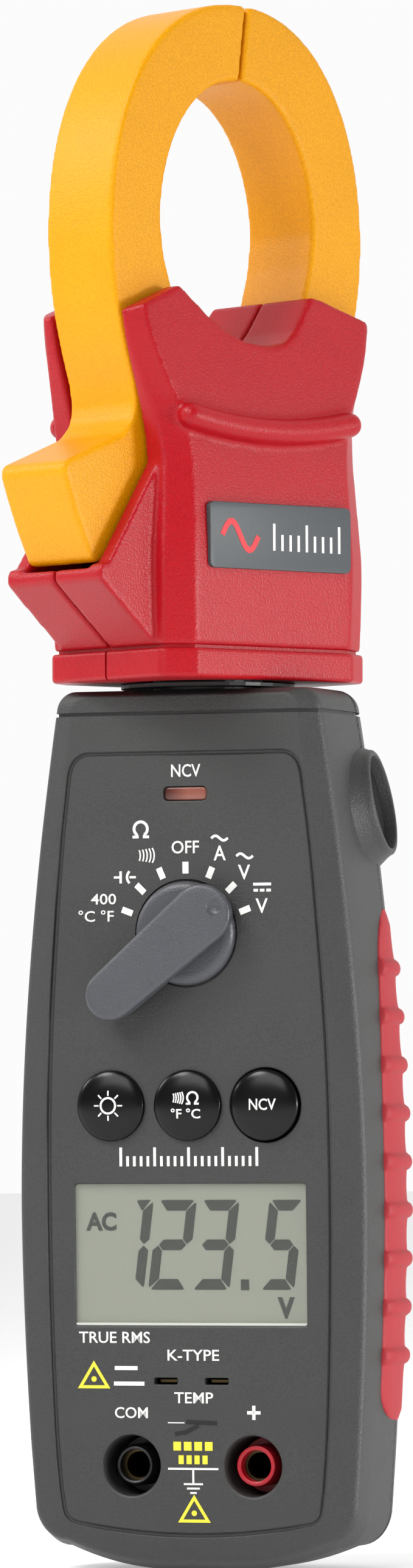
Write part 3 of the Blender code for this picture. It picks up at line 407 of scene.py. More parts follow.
def indicator_look():
    """Smoky red window, darker towards its left end."""
    material = surface("indicator_tint_look", linear(178, 104, 84), 0.18, 0.5, 0.05)
    place = add_node(material, "TexCoord")
    split = add_node(material, "SeparateXYZ")
    across = add_node(material, "MapRange", From_Min=-3.4 * MM, From_Max=0.4 * MM)
    ramp = add_node(material, "ValToRGB")
    ramp.color_ramp.elements[0].color = (*linear(52, 18, 17), 1.0)
    ramp.color_ramp.elements[1].color = (*linear(140, 84, 70), 1.0)
    link(
        material,
        (place, "Object", split, "Vector"),
        (split, "X", across, "Value"),
        (across, "Result", ramp, "Fac"),
        (ramp, "Color", material.node_tree.nodes["Principled BSDF"], "Base Color"),
    )
    return material


SHINE, METAL = "Specular IOR Level", "Metallic"
# Display colour, then roughness, grain, relief, mottle, patch and other sockets, as surface takes them.
LOOK_ROWS = {
    "head_plastic": ((168, 11, 25), 0.36, 0.3, 0.45, 0.16, 9.0, {SHINE: 0.3}),
    "jaw_plastic": ((224, 152, 0), 0.36, 0.3, 0.45, 0.14, 9.0, {SHINE: 0.2}),
    "body_plastic": ((52, 53, 52), 0.5, 0.27, 0.5, 0.3),
    "grip_rubber": ((160, 24, 35), 0.6, 0.35, 0.3, 0.1),
    "knob_plastic": ((73, 74, 79), 0.36, 0.27, 0.35, 0.16),
    "button_rubber": ((8, 6, 7), 0.24, 0.4, 0.03, 0.05, 9.0, {SHINE: 0.3}),
    "hold_rubber": ((9, 9, 9), 0.75, 0.6, 0.6, 0.2, 9.0, {SHINE: 0.15}),
    "display_lens": ((225, 230, 222), 0.08, 2.0, 0.02, 0.05, 9.0, {"Alpha": 0.05}),
    "display_glass": ((128, 131, 117), 0.38, 0.5, 0.03, 0.03, 14.0),
    "display_ink": ((22, 22, 19), 0.5, 0.5, 0.03, 0.04, 9.0, {SHINE: 0.1}),
    # Light grey-white colour for a painted highlight: the thin strip along the display window's lower edge.
    "display_painted_highlight": ((205, 207, 198), 0.3, 0.5, 0.03, 0.02),
    "label_plate": ((58, 63, 66), 0.42, 0.15, 0.15),
    "black_plastic": ((16, 16, 17), 0.42, 0.25, 0.1),
    "red_plastic": ((176, 14, 34), 0.4, 0.25, 0.06),
    "white_plastic": ((225, 225, 218), 0.45, 0.3, 0.1),
    "steel": ((190, 190, 194), 0.3, 0.12, 0.2, 0.08, 4.0, {METAL: 1.0}),
    "brass": ((92, 78, 54), 0.4, 0.12, 0.1, 0.08, 3.0, {METAL: 1.0}),
    "core_laminations": ((120, 120, 126), 0.42, 0.35, 0.5, 0.1, 2.0, {METAL: 0.8}),
    "copper_winding": ((186, 104, 58), 0.36, 0.4, 0.8, 0.12, 1.2, {METAL: 0.7}),
    "circuit_board": ((20, 92, 52), 0.45, 0.6, 0.25, 0.15, 2.5),
    "cell_jacket": ((60, 90, 150), 0.3, 0.4, 0.1, 0.1, 6.0, {METAL: 0.3}),
    "white_print": ((236, 236, 232), 0.55, 0.15, 0.2, 0.03, 3.0),
    "yellow_print": ((235, 222, 60), 0.55, 0.15, 0.2, 0.04, 3.0),
    "dark_print": ((10, 10, 11), 0.5, 0.15, 0.2, 0.04, 3.0),
    "red_print": ((214, 40, 50), 0.5, 0.15, 0.2, 0.04, 3.0),
}
LOOKS = {name: surface(f"{name}_look", linear(*row[0]), *row[1:]) for name, row in LOOK_ROWS.items()}
LOOKS["indicator_tint"] = indicator_look()


def piece(name, bm, body, slot, *replaces, look=None, sharp=38.0):
    """Finished piece of the visual model from a mesh in millimetres."""
    bm.transform(PLACES.get(body, STAY) @ Matrix.Scale(MM, 4))
    obj = new_object(name, bm)
    obj.data.materials.clear()
    obj.data.materials.append(LOOKS[look or slot])
    obj.data.shade_smooth()
    obj.data.set_sharp_from_angle(angle=radians(sharp))
    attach(obj, body)
    if replaces:
        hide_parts(*replaces)
    return obj


def evened(obj):
    """Shades large flat faces flat right up to the rounded edges beside them."""
    for face in obj.data.polygons:
        if len(face.vertices) > 4:
            face.use_smooth = False
    modifier = obj.modifiers.new("normals", "WEIGHTED_NORMAL")
    modifier.keep_sharp = True
    modifier.weight = 80
    return obj


# ---- body covers


def body_outline():
    half = [(x, BODY_TOP) for x in (0.0, 4.0, 8.0, 12.0, 15.0, 17.5)]
    for k in range(9):
        angle = pi / 2 * (1 - k / 8)
        z = BODY_TOP - 2.6 + 2.6 * sin(angle)
        half.append((half_width(z) - 2.6 * (1 - cos(angle)), z))
    heights = [BODY_TOP - 2.6 - (BODY_TOP - 11.6) * k / 64 for k in range(1, 65)]
    half += [(half_width(z), z) for z in heights]
    corner_x = half_width(9.0) - 5.0
    for k in range(1, 11):
        angle = pi / 2 * k / 10
        half.append((corner_x + 5.0 * cos(angle), 9.0 - 5.6 * sin(angle)))
    for k in range(1, 11):
        share = 1 - k / 10
        half.append((5.0 + (corner_x - 5.0) * share, 3.4 * share**2))
    half.append((2.5, 0.0))
    return half + [(0.0, 0.0)] + [(-x, z) for x, z in reversed(half[1:])]


OUTLINE = body_outline()


def body_ring(row):
    """Outline at one depth. The row: share of the front's depth, depth, insets at the sides, foot and top.

    The slack share is how much of the way in to the panel's edge the sides come.
    """
    share, y, side, slack_share, foot, top = row
    ring = []
    for x, z in OUTLINE:
        wide = half_width(z)
        inset = side + slack_share * (wide - panel_half(z) - 0.5)
        raised = z + foot * max(0.0, 1.0 - z / 18.0) ** 0.5
        raised -= top * max(0.0, (z - 124.0) / (BODY_TOP - 124.0)) ** 2
        ring.append(Vector((x * (1.0 - inset / wide), y - share * front_depth(raised), raised)))
    return ring


def face_ring(outline, sink):
    """Front-view outline laid in the plane of the front face, sunk by a depth."""
    return [Vector((x, sink - front_depth(z), z)) for x, z in outline]


def opening(outline, bevel, deep=-3.0):
    """Cutter for an opening in the sunk panel with a bevelled mouth."""
    rows = [(bevel, -2.0), (bevel, PANEL_SINK), (bevel * 0.35, PANEL_SINK + bevel * 0.25)]
    rows.append((0.0, PANEL_SINK + bevel))
    return loft([face_ring(grown(outline, growth), sink) for growth, sink in rows] + [upright(outline, deep)])


def panel_outline():
    """Edge of the sunk front panel."""
    right = [(x, 5.3 + 2.0 * (x / 19.5) ** 2) for x in (0.0, 4.0, 8.0, 12.0, 15.5)]
    right += filleted([(15.5, 6.56, 0), (20.0, 7.4, 2.6), (panel_half(12.0), 12.0, 0)], 6)[1:-1]
    right += [(panel_half(z), z) for z in (12.0 + 106.0 * k / 40 for k in range(41))]
    top = panel_half(118.0)
    for k in range(1, 8):
        angle = pi / 2 * k / 7
        right.append((top - 3.0 * (1 - cos(angle)) - 0.1, 118.0 + 3.1 * sin(angle)))
    right += [(x, 121.1) for x in (12.0, 8.0, 4.0)]
    return right + [(0.0, 121.1)] + [(-x, z) for x, z in reversed(right[1:])]


def panel_cutter():
    rows = [(0.55, -1.5), (0.5, -0.05), (0.32, 0.08), (0.24, 0.3), (0.18, 0.5), (-0.12, 0.52), (-0.2, 0.36)]
    return stepped(panel_outline(), rows + [(-0.42, PANEL_SINK)], face_ring)


def cavity(front):
    """Hollow inside one cover, with walls 2 mm thick."""
    rows = [(0, 2.6, 2.0, 0.0, 2.0, 2.6), (0, 9.0, 2.9, 0.3, 3.8, 2.8)]
    rows += [(0, 12.4, 4.6, 0.42, 6.4, 4.2), (0, 15.0, 8.4, 0.6, 10.5, 7.0)]
    if front:
        rows = [(0, 6.5, 2.0, 0.0, 2.0, 2.6), (0.45, 0.9, 2.0, 0.06, 2.4, 2.6)]
        rows += [(0.86, 1.7, 2.0, 0.2, 3.3, 2.6), (1, 2, 2.2, 1, 6.3, 2.8)]
    return loft([body_ring(row) for row in rows])


def collar_groove():
    """Ring-shaped cutter for the groove below the collar."""
    z = 127.1
    rows = ((0, 17.0, 4.2, 0.49), (0, 15.0, 2.2, 0.38), (0, 11.5, 0.9, 0.28), (0, 8.0, 0.3, 0.12))
    rows += ((0, 4.5, 0, 0), (0.45, 0, 0, 0.06), (0.86, 0, 0, 0.16), (1.0, 0, 0, 1.0))
    right = []
    for share, y, side, slack in rows:
        wide = half_width(z)
        right.append((wide - side - slack * (wide - panel_half(z) - 0.5), y - share * front_depth(z)))
    section = right + [(-x, y) for x, y in reversed(right)]
    rings = []
    for distance, level in ((4.0, z - 0.28), (-0.5, z - 0.28), (-0.5, z + 0.28), (4.0, z + 0.28)):
        rings.append([Vector((x, y, level)) for x, y in grown(section, distance)])
    return loft(rings, loop=True)


CASE_SCREWS = (
    ("upper_left", -17.0, 98.0),
    ("upper_right", 17.0, 98.0),
    ("lower_left", -19.0, 13.0),
    ("lower_right", 19.0, 13.0),
)


def shared_bores():
    """Cutters for the swivel's neck and the side button, which cross both covers."""
    hub = rod(8.5, (0.0, -1.0, 124.0), (0.0, -1.0, 134.0))
    hold = rod(7.0, HOLD_CENTRE - HOLD_AXIS * 12.0, HOLD_CENTRE + HOLD_AXIS * 4.0)
    return merged(hub, hold)


def make_cover(node, rows, steps):
    steps += [(CUT, shared_bores()), (CUT, collar_groove())]
    cover = shaped(loft([body_ring(row) for row in rows]), steps)
    evened(piece(f"{node}_moulding", cover, "body", "body_plastic", node))


def make_front_cover():
    rows = [(0, 4.35, 0.35, 0, 0.3, 0.3), (0, 4.0, 0.0, 0, 0, 0), (0.45, 0, 0, 0.06, 0.0, 0.0)]
    crease = [(0.86, 0, 0, 0.16, 1.3, 0.1), (1, 0, 0, 1, 4.3, 0.9), (1, 0, 1.4, 1, 5.6, 2.2)]
    rows += softened([(0.45, 0, 0, 0.06, 0, 0)] + crease, 0.22, 5)[1:]
    posts = [rod_y(2.9, x, z, -front_depth(z) + 1.2, 4.2, 24) for _name, x, z in CASE_SCREWS]
    cuts = [opening(rounded_rect(0.0, DISPLAY_MIDDLE, 2 * DISPLAY_HALF, 21.0, 0.5), 0.3)]
    cuts.append(opening(rounded_rect(0.0, INDICATOR_Z, 6.8, 2.1, 0.8), 0.2))
    for index in (-1, 0, 1):
        cuts.append(opening(circle(index * BUTTON_PITCH, BUTTON_Z, BUTTON_RADIUS + 0.22, 72), 0.25))
    well = 0.75 - front_depth(SELECTOR_Z)
    ring = [(8.05, -12.5), (8.05, well), (4.3, well), (4.3, -3.0)]
    cuts.append(turned(ring, (0.0, 0.0, SELECTOR_Z), (0, 1, 0), 72))
    for x in (-JACK_X, JACK_X):
        posts.append(rod_y(6.0, x, JACK_Z, -front_depth(JACK_Z) + 1.0, -0.3))
        cuts.append(opening(circle(x, JACK_Z, 4.45, 64), 0.45, 2.0))
    for x in (-4.0, 4.0):
        cuts.append(opening(rounded_rect(x, 28.1, 3.7, 1.0, 0.25), 0.12))
    steps = [(CUT, cavity(True)), (ADD, merged(*posts)), (CUT, panel_cutter()), (CUT, merged(*cuts))]
    make_cover("front_cover", rows, steps)


def make_rear_cover():
    rows = [(0, 4.65, 0.35, 0, 0.3, 0.3), (0, 5.0, 0.0, 0, 0, 0)]
    curve = [(0, 5.0, 0, 0, 0, 0), (0, 8.0, 0.25, 0.1, 0.4, 0.1), (0, 11.5, 0.85, 0.26, 1.3, 0.4)]
    curve += [(0, 15.2, 2.1, 0.37, 2.9, 1.2), (0, 17.0, 4.6, 0.52, 5.4, 3.2), (0, 17.0, 8.0, 0.6, 9.0, 6.0)]
    rows += softened(curve, 0.42, 4)[1:]
    posts = [box((-14.6, 2.6, 19.6), (14.6, 15.6, 78.4))]
    lid = rounded_rect(0.0, LID_MIDDLE, 26.4, 56.0, 1.6)
    cuts = [stepped(lid, ((0, 15.0), (0, 16.7), (0.3, 17.0), (0.3, 30.0)))]
    cuts.append(rod_y(1.15, 0, LID_SCREW_Z, 9, 15.2, 24))
    bore = [(1.75, 0.0), (1.75, 10.3), (2.95, 10.3), (2.95, 30.0)]
    for _name, x, z in CASE_SCREWS:
        posts.append(rod_y(3.0, x, z, 4.8, 15.5, 24))
        cuts.append(turned(bore, (x, 0.0, z), (0, 1, 0), 40))
    steps = [(CUT, cavity(False)), (ADD, merged(*posts)), (CUT, merged(*cuts))]
    steps.append((CUT, box((-12.0, 3.8, 22.6), (12.0, 16.0, 72.2))))
    make_cover("rear_cover", rows, steps)


def make_hold_guard():
    """Flared ring round the side button, flattened towards the back."""
    flank = [(15.0, -9.5), (13.0, -7.3), (11.2, -5.2), (9.6, -3.1), (8.5, -1.5), (8.1, -0.8)]
    flank += [(7.95, -0.3), (7.7, -0.08), (7.4, 0.0)]
    inside = [(7.12, -0.12), (7.0, -0.45), (7.0, -9.5)]
    guard = turned(flank + inside, HOLD_CENTRE, HOLD_AXIS, 96, loop=True)
    limit = HOLD_CENTRE.y + 7.6
    for vert in guard.verts:
        if vert.co.y > limit:
            vert.co.y = limit + 0.2 * (vert.co.y - limit)
    piece("hold_button_guard", guard, "body", "body_plastic")


def grip_section(z, side):
    """Section of a grip: a strip that wraps the body's side, thicker at each rib and thin at its ends."""
    half, slack = half_width(z), half_width(z) - panel_half(z) - 0.5
    end = max(min(1.0, (GRIP_HIGH - z) / 7.0, (z - GRIP_LOW) / 5.0), 0.0)
    narrow = 0.92 * (1.0 - sqrt(max(0.0, 1.0 - (1.0 - end) ** 2)))
    middle = 5.2
    front = -2.6 + 4.4 * max(0.0, (z - 58.0) / 40.0) ** 2
    front, back = front + (middle - front) * narrow, 11.0 + (middle - 11.0) * narrow
    phase = (z - FIRST_RIB) / RIB_PITCH
    gap = abs(phase - min(max(round(phase), 0), LAST_RIB)) * RIB_PITCH
    rib = sqrt(max(0.0, 1.0 - (gap / RIB_HALF) ** 2))
    rib = max(rib, 0.22 * exp(-((gap / 1.7) ** 2)))
    proud = 0.5 * min(1.0, end * 3.0) + rib * min(1.0, end * 1.2)

    def skin(y):
        inset = 0.04 * slack * max(0.0, -y) / 2.6
        if y > 4.8:
            share = min((y - 4.8) / 6.2, 1.0)
            inset += (0.85 + 0.26 * slack) * share**1.6
        return half - inset

    ring = []
    steps = 16
    for k in range(steps + 1):
        angle = pi * k / steps
        y = middle + ((front if angle < pi / 2 else back) - middle) * abs(cos(angle)) ** 0.8
        lift = sin(angle) ** 0.45 if 0 < k < steps else 0.0
        reach = 0.15 * rib * (1 - sin(angle))
        y += -reach if angle < pi / 2 else reach
        ring.append(Vector((side * (skin(y) - 0.35 + (proud + 0.35) * lift), y, z)))
    for k in range(steps - 1, 0, -2):
        y = ring[k].y
        ring.append(Vector((side * (skin(y) - 0.95), y, z)))
    return ring


def make_grips():
    low, count = GRIP_LOW + 0.05, 340
    step = (GRIP_HIGH - 0.05 - low) / count
    for name, side in (("left_grip", -1), ("right_grip", 1)):
        grip = loft([grip_section(low + step * k, side) for k in range(count + 1)])
        piece(f"{name}_pad", grip, "body", "grip_rubber", name, sharp=60.0)


def make_screw(name, x, y, z, radius, body):
    """Pan-head screw with a cross recess, driven from the back."""
    base, along, r = Vector((x, y, z)), Vector((0, -1, 0)), radius
    profile = [(0.02, -1.5), (0.5 * r, -1.46), (0.78 * r, -1.3), (0.94 * r, -1.05), (r, -0.75), (r, -0.1)]
    profile += [(0.96 * r, 0.0), (0.42 * r, 0.02), (0.42 * r, 8.6), (0.2 * r, 9.4)]
    bars = []
    for slot in (Vector((1, 0, 0)), Vector((0, 0, 1))):
        side = along.cross(slot) * 0.17 * r
        rings = []
        for depth, spread in ((-2.2, 1.0), (-0.5, 0.55)):
            centre, reach = base + along * depth, slot * 0.6 * r * spread
            left, right = centre - reach, centre + reach
            rings.append([left - side, left + side, right + side, right - side])
        bars.append((CUT, loft(rings)))
    screw = shaped(turned(profile, base, along, 48), bars)
    piece(f"{name}_head", screw, body, "steel", name)


def make_case_screws():
    for corner, x, z in CASE_SCREWS:
        make_screw(f"case_screw_{corner}", x, 11.0, z, 2.6, "body")


def make_battery_lid():
    """Lid with sunk ribs to push on, and its screw."""
    outline = rounded_rect(0.0, LID_MIDDLE, 25.8, 55.4, 1.4, 6)
    lid = stepped(outline, ((0.0, 15.3), (0.0, 16.65), (-0.07, 16.82), (-0.2, 16.95), (-0.4, 17.0)))
    bore = [(1.2, -6.0), (1.2, 1.1), (2.4, 1.1), (2.4, 1.8), (2.75, 2.3)]
    cuts = [turned(bore, (0, 15.0, LID_SCREW_Z), (0, 1, 0), 48)]
    for k in range(7):
        rib = rounded_rect(0.0, 27.5 + 2.2 * k, 13.0, 0.7, 0.34, 4)
        cuts.append(stepped(rib, ((-0.05, 16.6), (0.3, 17.3))))
    lid = shaped(lid, [(CUT, merged(*cuts))])
    evened(piece("battery_cover_lid", lid, "battery_cover", "body_plastic", "battery_cover"))
    profile = [(0.02, 0.0), (1.4, -0.02), (1.85, -0.14), (2.0, -0.3), (2.0, -0.45), (0.85, -0.46)]
    profile.append((0.85, -6.0))
    screw = turned(profile, (0, 16.9, LID_SCREW_Z), (0, 1, 0), 48)
    screw = shaped(screw, [(CUT, box((-1.4, 16.65, LID_SCREW_Z - 0.25), (1.4, 18.0, LID_SCREW_Z + 0.25)))])
    piece("battery_cover_screw_head", screw, "battery_cover", "steel", "battery_cover_screw")


# ---- controls on the front


def lever_height(height, z):
    """A height of the pointer at z along it: the pointer falls from its tail to its tip."""
    return height * (1.04 - 0.4 * (z + 17.5) / 26.5)


def lever_ring(inset, height):
    """Outline of the pointer, wider towards its tip, drawn along Z and then turned."""
    outline = arc(0.3, 4.4, 4.55 - inset, -2, 182, 24) + arc(0.3, -13.7, 3.8 - inset, 178, 362, 24)
    return [LEVER_TURN @ Vector((x, -lever_height(height, z), z)) for x, z in outline]


def make_selector():
    seat = Vector((0.0, -front_depth(SELECTOR_Z), SELECTOR_Z))
    rim = [(3.9, 2.6), (3.9, -0.5), (7.3, -0.5), (7.68, -0.42), (7.72, -0.2), (7.72, 0.25), (7.6, 0.62)]
    rim += [(7.3, 0.95), (6.85, 1.17), (6.3, 1.25), (0.05, 1.28)]
    disc = turned(rim, seat, (0, -1, 0), 96)
    rows = [(0.55, 0.6), (0.32, 2.6), (0.0, 4.9), (0.06, 5.15), (0.2, 5.38), (0.42, 5.52)]
    rows += [(0.75, LEVER_HEIGHT), (1.4, LEVER_HEIGHT)]
    lever = loft([[seat + point for point in lever_ring(*row)] for row in rows])
    dot = seat + LEVER_TURN @ Vector((0.9, -lever_height(LEVER_HEIGHT, 6.8), 6.8))
    bowl = [(0.05, 0.42), (0.6, 0.36), (1.0, 0.2), (1.25, -0.02), (1.6, -0.6), (1.6, -1.5)]
    lever = shaped(lever, [(CUT, turned(bowl, dot, (0, 1, 0), 40))])
    evened(piece("selector_knob_lever", merged(lever, disc), "selector", "knob_plastic", "selector_knob"))


def dome_height(radius):
    return 0.1 + 1.25 * sqrt(max(0.0, 1.0 - (radius / BUTTON_RADIUS) ** 2))


def make_buttons():
    face = -front_depth(BUTTON_Z)
    profile = [(5.7, -4.4), (5.7, -3.4), (BUTTON_RADIUS, -3.35), (BUTTON_RADIUS, -0.1)]
    radii = [BUTTON_RADIUS * cos(pi / 2 * k / 15) for k in range(15)]
    profile += [(radius, dome_height(radius)) for radius in radii] + [(0.03, dome_height(0.0))]
    for name, index in BUTTONS:
        dome = turned(profile, (index * BUTTON_PITCH, face, BUTTON_Z), (0, -1, 0), 80)
        piece(f"{name}_dome", dome, name, "button_rubber", name)
    profile = [(2.2, -7.0), (2.2, -3.0), (6.6, -2.99), (6.6, -0.6), (6.5, -0.3), (6.2, -0.05), (5.6, 0.12)]
    profile += [(4.2, 0.3), (2.4, 0.42), (0.05, 0.45)]
    cap = turned(profile, HOLD_CENTRE - HOLD_AXIS * 1.6, HOLD_AXIS, 72)
    piece("hold_button_cap", cap, "hold_button", "button_rubber", "hold_button", look="hold_rubber")


def make_jacks():
    mouth = -front_depth(JACK_Z) + 0.8
    for name, slot, x, rim in (("com", "black", -JACK_X, 2.8), ("positive", "red", JACK_X, 3.0)):
        profile = [(rim, 1.4), (rim, 1.02), (rim - 0.07, 0.88), (rim - 0.2, 0.82), (2.5, 0.85), (2.36, 0.95)]
        profile += [(2.3, 1.2), (2.3, 2.6), (2.75, 2.6), (2.75, 21.0), (3.4, 21.0), (3.4, 7.81)]
        profile += [(4.1, 7.8), (4.1, 6.61), (3.1, 6.6), (3.1, 2.0)]
        shroud = turned(profile, (x, mouth, JACK_Z), (0, 1, 0), 64, loop=True)
        piece(f"{name}_jack_shroud", shroud, "body", f"{slot}_plastic", f"{name}_jack_insulator")


def make_display():
    x, z0, z1 = DISPLAY_HALF - 0.05, DISPLAY_LOW + 0.05, DISPLAY_HIGH - 0.05
    lens = loft([face_ring([(-x, z0), (x, z0), (x, z1), (-x, z1)], sink) for sink in (0.52, 0.62)])
    piece("display_window_lens", lens, "body", "display_lens", "display_window")
    outer = rounded_rect(0.0, DISPLAY_MIDDLE, 2 * DISPLAY_HALF + 1.8, 22.8, 0.6)
    glass = loft([face_ring(outer, sink) for sink in (1.05, 2.4)])
    piece("lcd_panel_glass", glass, "body", "display_glass", "lcd_panel")
    # Thin light strip along the bottom of the display window. It is a painted highlight for the light that
    # the window's lower edge catches.
    highlight_strip = rounded_rect(0.0, DISPLAY_LOW + 0.22, 2 * DISPLAY_HALF - 0.1, 0.38, 0.1)
    highlight_strip = loft([face_ring(highlight_strip, sink) for sink in (0.55, 1.06)])
    piece("display_window_highlight_strip", highlight_strip, "body", "display_lens", look="display_painted_highlight")


def make_indicator():
    outline = rounded_rect(0.0, INDICATOR_Z, 6.6, 1.9, 0.7, 6)
    lens = stepped(outline, ((-0.25, 0.42), (-0.1, 0.45), (0.0, 0.55), (0.0, 5.0)), face_ring)
    piece("indicator_window", lens, "body", "indicator_tint", "indicator_lens")


# ---- printed marks


def stroke(path, width, closed=False):
    """Band along a path, as quads."""
    points = [Vector(point) for point in path]
    before, after = (points[-1:], points[:1]) if closed else (points[:1], points[-1:])
    sides = []
    for a, b, c in zip(before + points[:-1], points, points[1:] + after):
        reach = mitre(a, b, c, 0.4) * width / 2
        sides.append((tuple(b + reach), tuple(b - reach)))
    pairs = list(zip(sides, sides[1:] + sides[:1]))
    return [[a[0], b[0], b[1], a[1]] for a, b in (pairs if closed else pairs[:-1])]


def bar(x, z, width, height, angle=0.0):
    c, s = cos(radians(angle)) / 2, sin(radians(angle)) / 2
    out = []
    for u, v in ((-width, -height), (width, -height), (width, height), (-width, height)):
        out.append((x + u * c + v * s, z - u * s + v * c))
    return [out]


def ticks(x, z, pitch, count, every, tall, short, width):
    """Row of scale ticks that stand on z, with a tall one every few."""
    out = []
    for k in range(count):
        height = short if k % every else tall
        out += bar(x + pitch * k, z + height / 2, width, height)
    return out


def wave(x, z, width, height, line):
    shares = [k / 24 for k in range(25)]
    return stroke([(x + width * (t - 0.5), z + height / 2 * sin(2 * pi * t)) for t in shares], line)


def ohm(x, z, size, line):
    """Ohm sign of the given height."""
    r = 0.42 * size
    ring = arc(x, z + 0.06 * size, r, -58, 238, 28)
    foot = z - size / 2 + line / 2
    left = [(x - 0.52 * size, foot), (ring[-1][0], foot), ring[-1]]
    right = [(x + 0.52 * size, foot), (ring[0][0], foot), ring[0]]
    return stroke(ring, line) + stroke(left, line) + stroke(right, line)


def sound(x, z, width, height, line):
    """Row of upright arcs, the sign for a buzzer."""
    out = []
    radius = height * 0.9
    for k in range(5):
        half = degrees(asin(min(0.95, height * (0.72 + 0.07 * k) / 2 / radius)))
        out += stroke(arc(x - width / 2 + width * k / 4 - radius, z, radius, -half, half, 8), line)
    return out


def lettering(text, x, z, width, height, weight=0.008):
    """Letters filled as flat faces, fitted to a box."""
    curve = bpy.data.curves.new("lettering", "FONT")
    curve.body = text
    curve.offset = weight
    curve.resolution_u = 3
    obj = add_object("lettering", curve)
    graph = bpy.context.evaluated_depsgraph_get()
    mesh = bpy.data.meshes.new_from_object(obj.evaluated_get(graph))
    xs, ys = [v.co.x for v in mesh.vertices], [v.co.y for v in mesh.vertices]
    across, up = width / (max(xs) - min(xs)), height / (max(ys) - min(ys))
    left, low = x - width / 2, z - height / 2
    shapes = []
    for face in mesh.polygons:
        corners = [mesh.vertices[i].co for i in face.vertices]
        shapes.append([(left + (c.x - min(xs)) * across, low + (c.y - min(ys)) * up) for c in corners])
    bpy.data.objects.remove(obj)
    bpy.data.curves.remove(curve)
    bpy.data.meshes.remove(mesh)
    return shapes


def print_on(name, shapes, height_at, body, slot, look, thick=0.05):
    """Thin raised print: each flat shape becomes a low solid on the surface y = height_at(x, z)."""
    bm = bmesh.new()
    for shape in shapes:
        if not anticlockwise(shape):
            shape = shape[::-1]
        top = [bm.verts.new((x, height_at(x, z) - thick, z)) for x, z in shape]
        low = [bm.verts.new((x, height_at(x, z) + 0.03, z)) for x, z in shape]
        bm.faces.new(top)
        for i in range(len(shape)):
            j = (i + 1) % len(shape)
            bm.faces.new((top[j], top[i], low[i], low[j]))
    piece(name, bm, body, slot, look=look, sharp=20.0)


# Words and the boxes that they fill: middle, width and height.
PANEL_WORDS = (
    ("NCV", 0.2, 118.5, 4.6, 1.9),
    ("OFF", 0.0, 107.15, 4.3, 1.9),
    ("400", -13.0, 99.6, 4.0, 1.6),
    ("\u00b0C \u00b0F", -14.2, 97.1, 5.6, 1.7),
    ("A", 5.4, 106.2, 1.9, 2.2),
    ("V", 9.2, 103.3, 1.9, 2.2),
    ("V", 11.9, 98.3, 1.9, 2.2),
    ("TRUE RMS", -12.0, 34.55, 11.2, 1.7),
    ("K-TYPE", 0.4, 31.95, 8.1, 1.62),
    ("TEMP", 0.4, 25.65, 6.1, 1.62),
    ("COM", -9.45, 23.4, 5.2, 1.65),
)
CAPACITOR_BARS = ((-10.85, 102.8, 0.95, 0.34), (-10.25, 102.8, 0.38, 1.8), (-8.35, 102.8, 1.0, 0.34))
DIRECT_BARS = ((12.0, 101.5, 2.8, 0.42), *[(x, 100.6, 0.7, 0.42) for x in (11.0, 12.0, 13.0)])
EARTH_BARS = (
    (0.2, 15.15, 7.9, 0.3), (0.2, 14.0, 0.3, 2.1),
    (0.2, 12.9, 3.0, 0.28), (0.2, 12.25, 2.0, 0.28), (0.2, 11.6, 1.0, 0.28),
)
PLUS_BARS = ((9.8, 23.5, 2.1, 0.5), (9.8, 23.5, 0.5, 2.1))
RATING_BARS = ((-10.2, 30.0, 3.6, 0.6), (-9.75, 27.7, 4.8, 0.6), (-2.4, 21.95, 2.6, 0.16))
DIAL_STEP = 23.07
DIAL_RADIUS = 9.9


def panel_height(_x, z):
    return PANEL_SINK - front_depth(z)


def spokes(x, z, radius, angles, width, length):
    """Bars that point away from a centre."""
    out = []
    for angle in angles:
        a = radians(angle)
        out += bar(x + radius * sin(a), z + radius * cos(a), width, length, angle)
    return out


def make_panel_prints():
    white = spokes(0.0, SELECTOR_Z - 0.2, DIAL_RADIUS, [DIAL_STEP * k for k in range(-3, 4)], 0.95, 1.75)
    white += ohm(-7.0, 109.8, 2.5, 0.42) + sound(-6.0, 106.0, 2.2, 2.2, 0.22)
    white += stroke(arc(-8.1, 102.8, 1.15, 130, 230, 8), 0.36)
    white += wave(5.4, 108.4, 2.6, 0.7, 0.38) + wave(9.3, 105.7, 2.6, 0.7, 0.38)
    white += ticks(-10.7, 59.9, 1.07, 21, 5, 2.8, 1.5, 0.42)
    for word in PANEL_WORDS:
        white += lettering(*word)
    for row in CAPACITOR_BARS + DIRECT_BARS + EARTH_BARS + PLUS_BARS + RATING_BARS:
        white += bar(*row)
    print_on("front_marks_white", white, panel_height, "body", "white_plastic", "white_print")
    yellow = []
    for x, z in ((-15.3, 28.9), (0.3, 9.15)):
        yellow += stroke([(x - 2.15, z - 1.7), (x + 2.15, z - 1.7), (x, z + 1.75)], 0.46, closed=True)
        yellow += [circle(x, z - 0.55, 0.42, 16)]
    for z, w in ((18.5, 6.6), (16.5, 5.0)):
        for k in range(4):
            yellow += bar(0.2 + w * (k - 1.5) / 4, z, w / 4 - 0.45, 1.3)
    print_on("front_marks_yellow", yellow, panel_height, "body", "white_plastic", "yellow_print")
    dark = stroke([(1.1, 21.6), (0.2, 21.1), (-0.9, 20.55), (-2.6, 20.3)], 0.62)
    dark += bar(1.6, 22.0, 4.8, 0.62, 2.0)
    print_on("front_marks_dark", dark, panel_height, "body", "black_plastic", "dark_print")


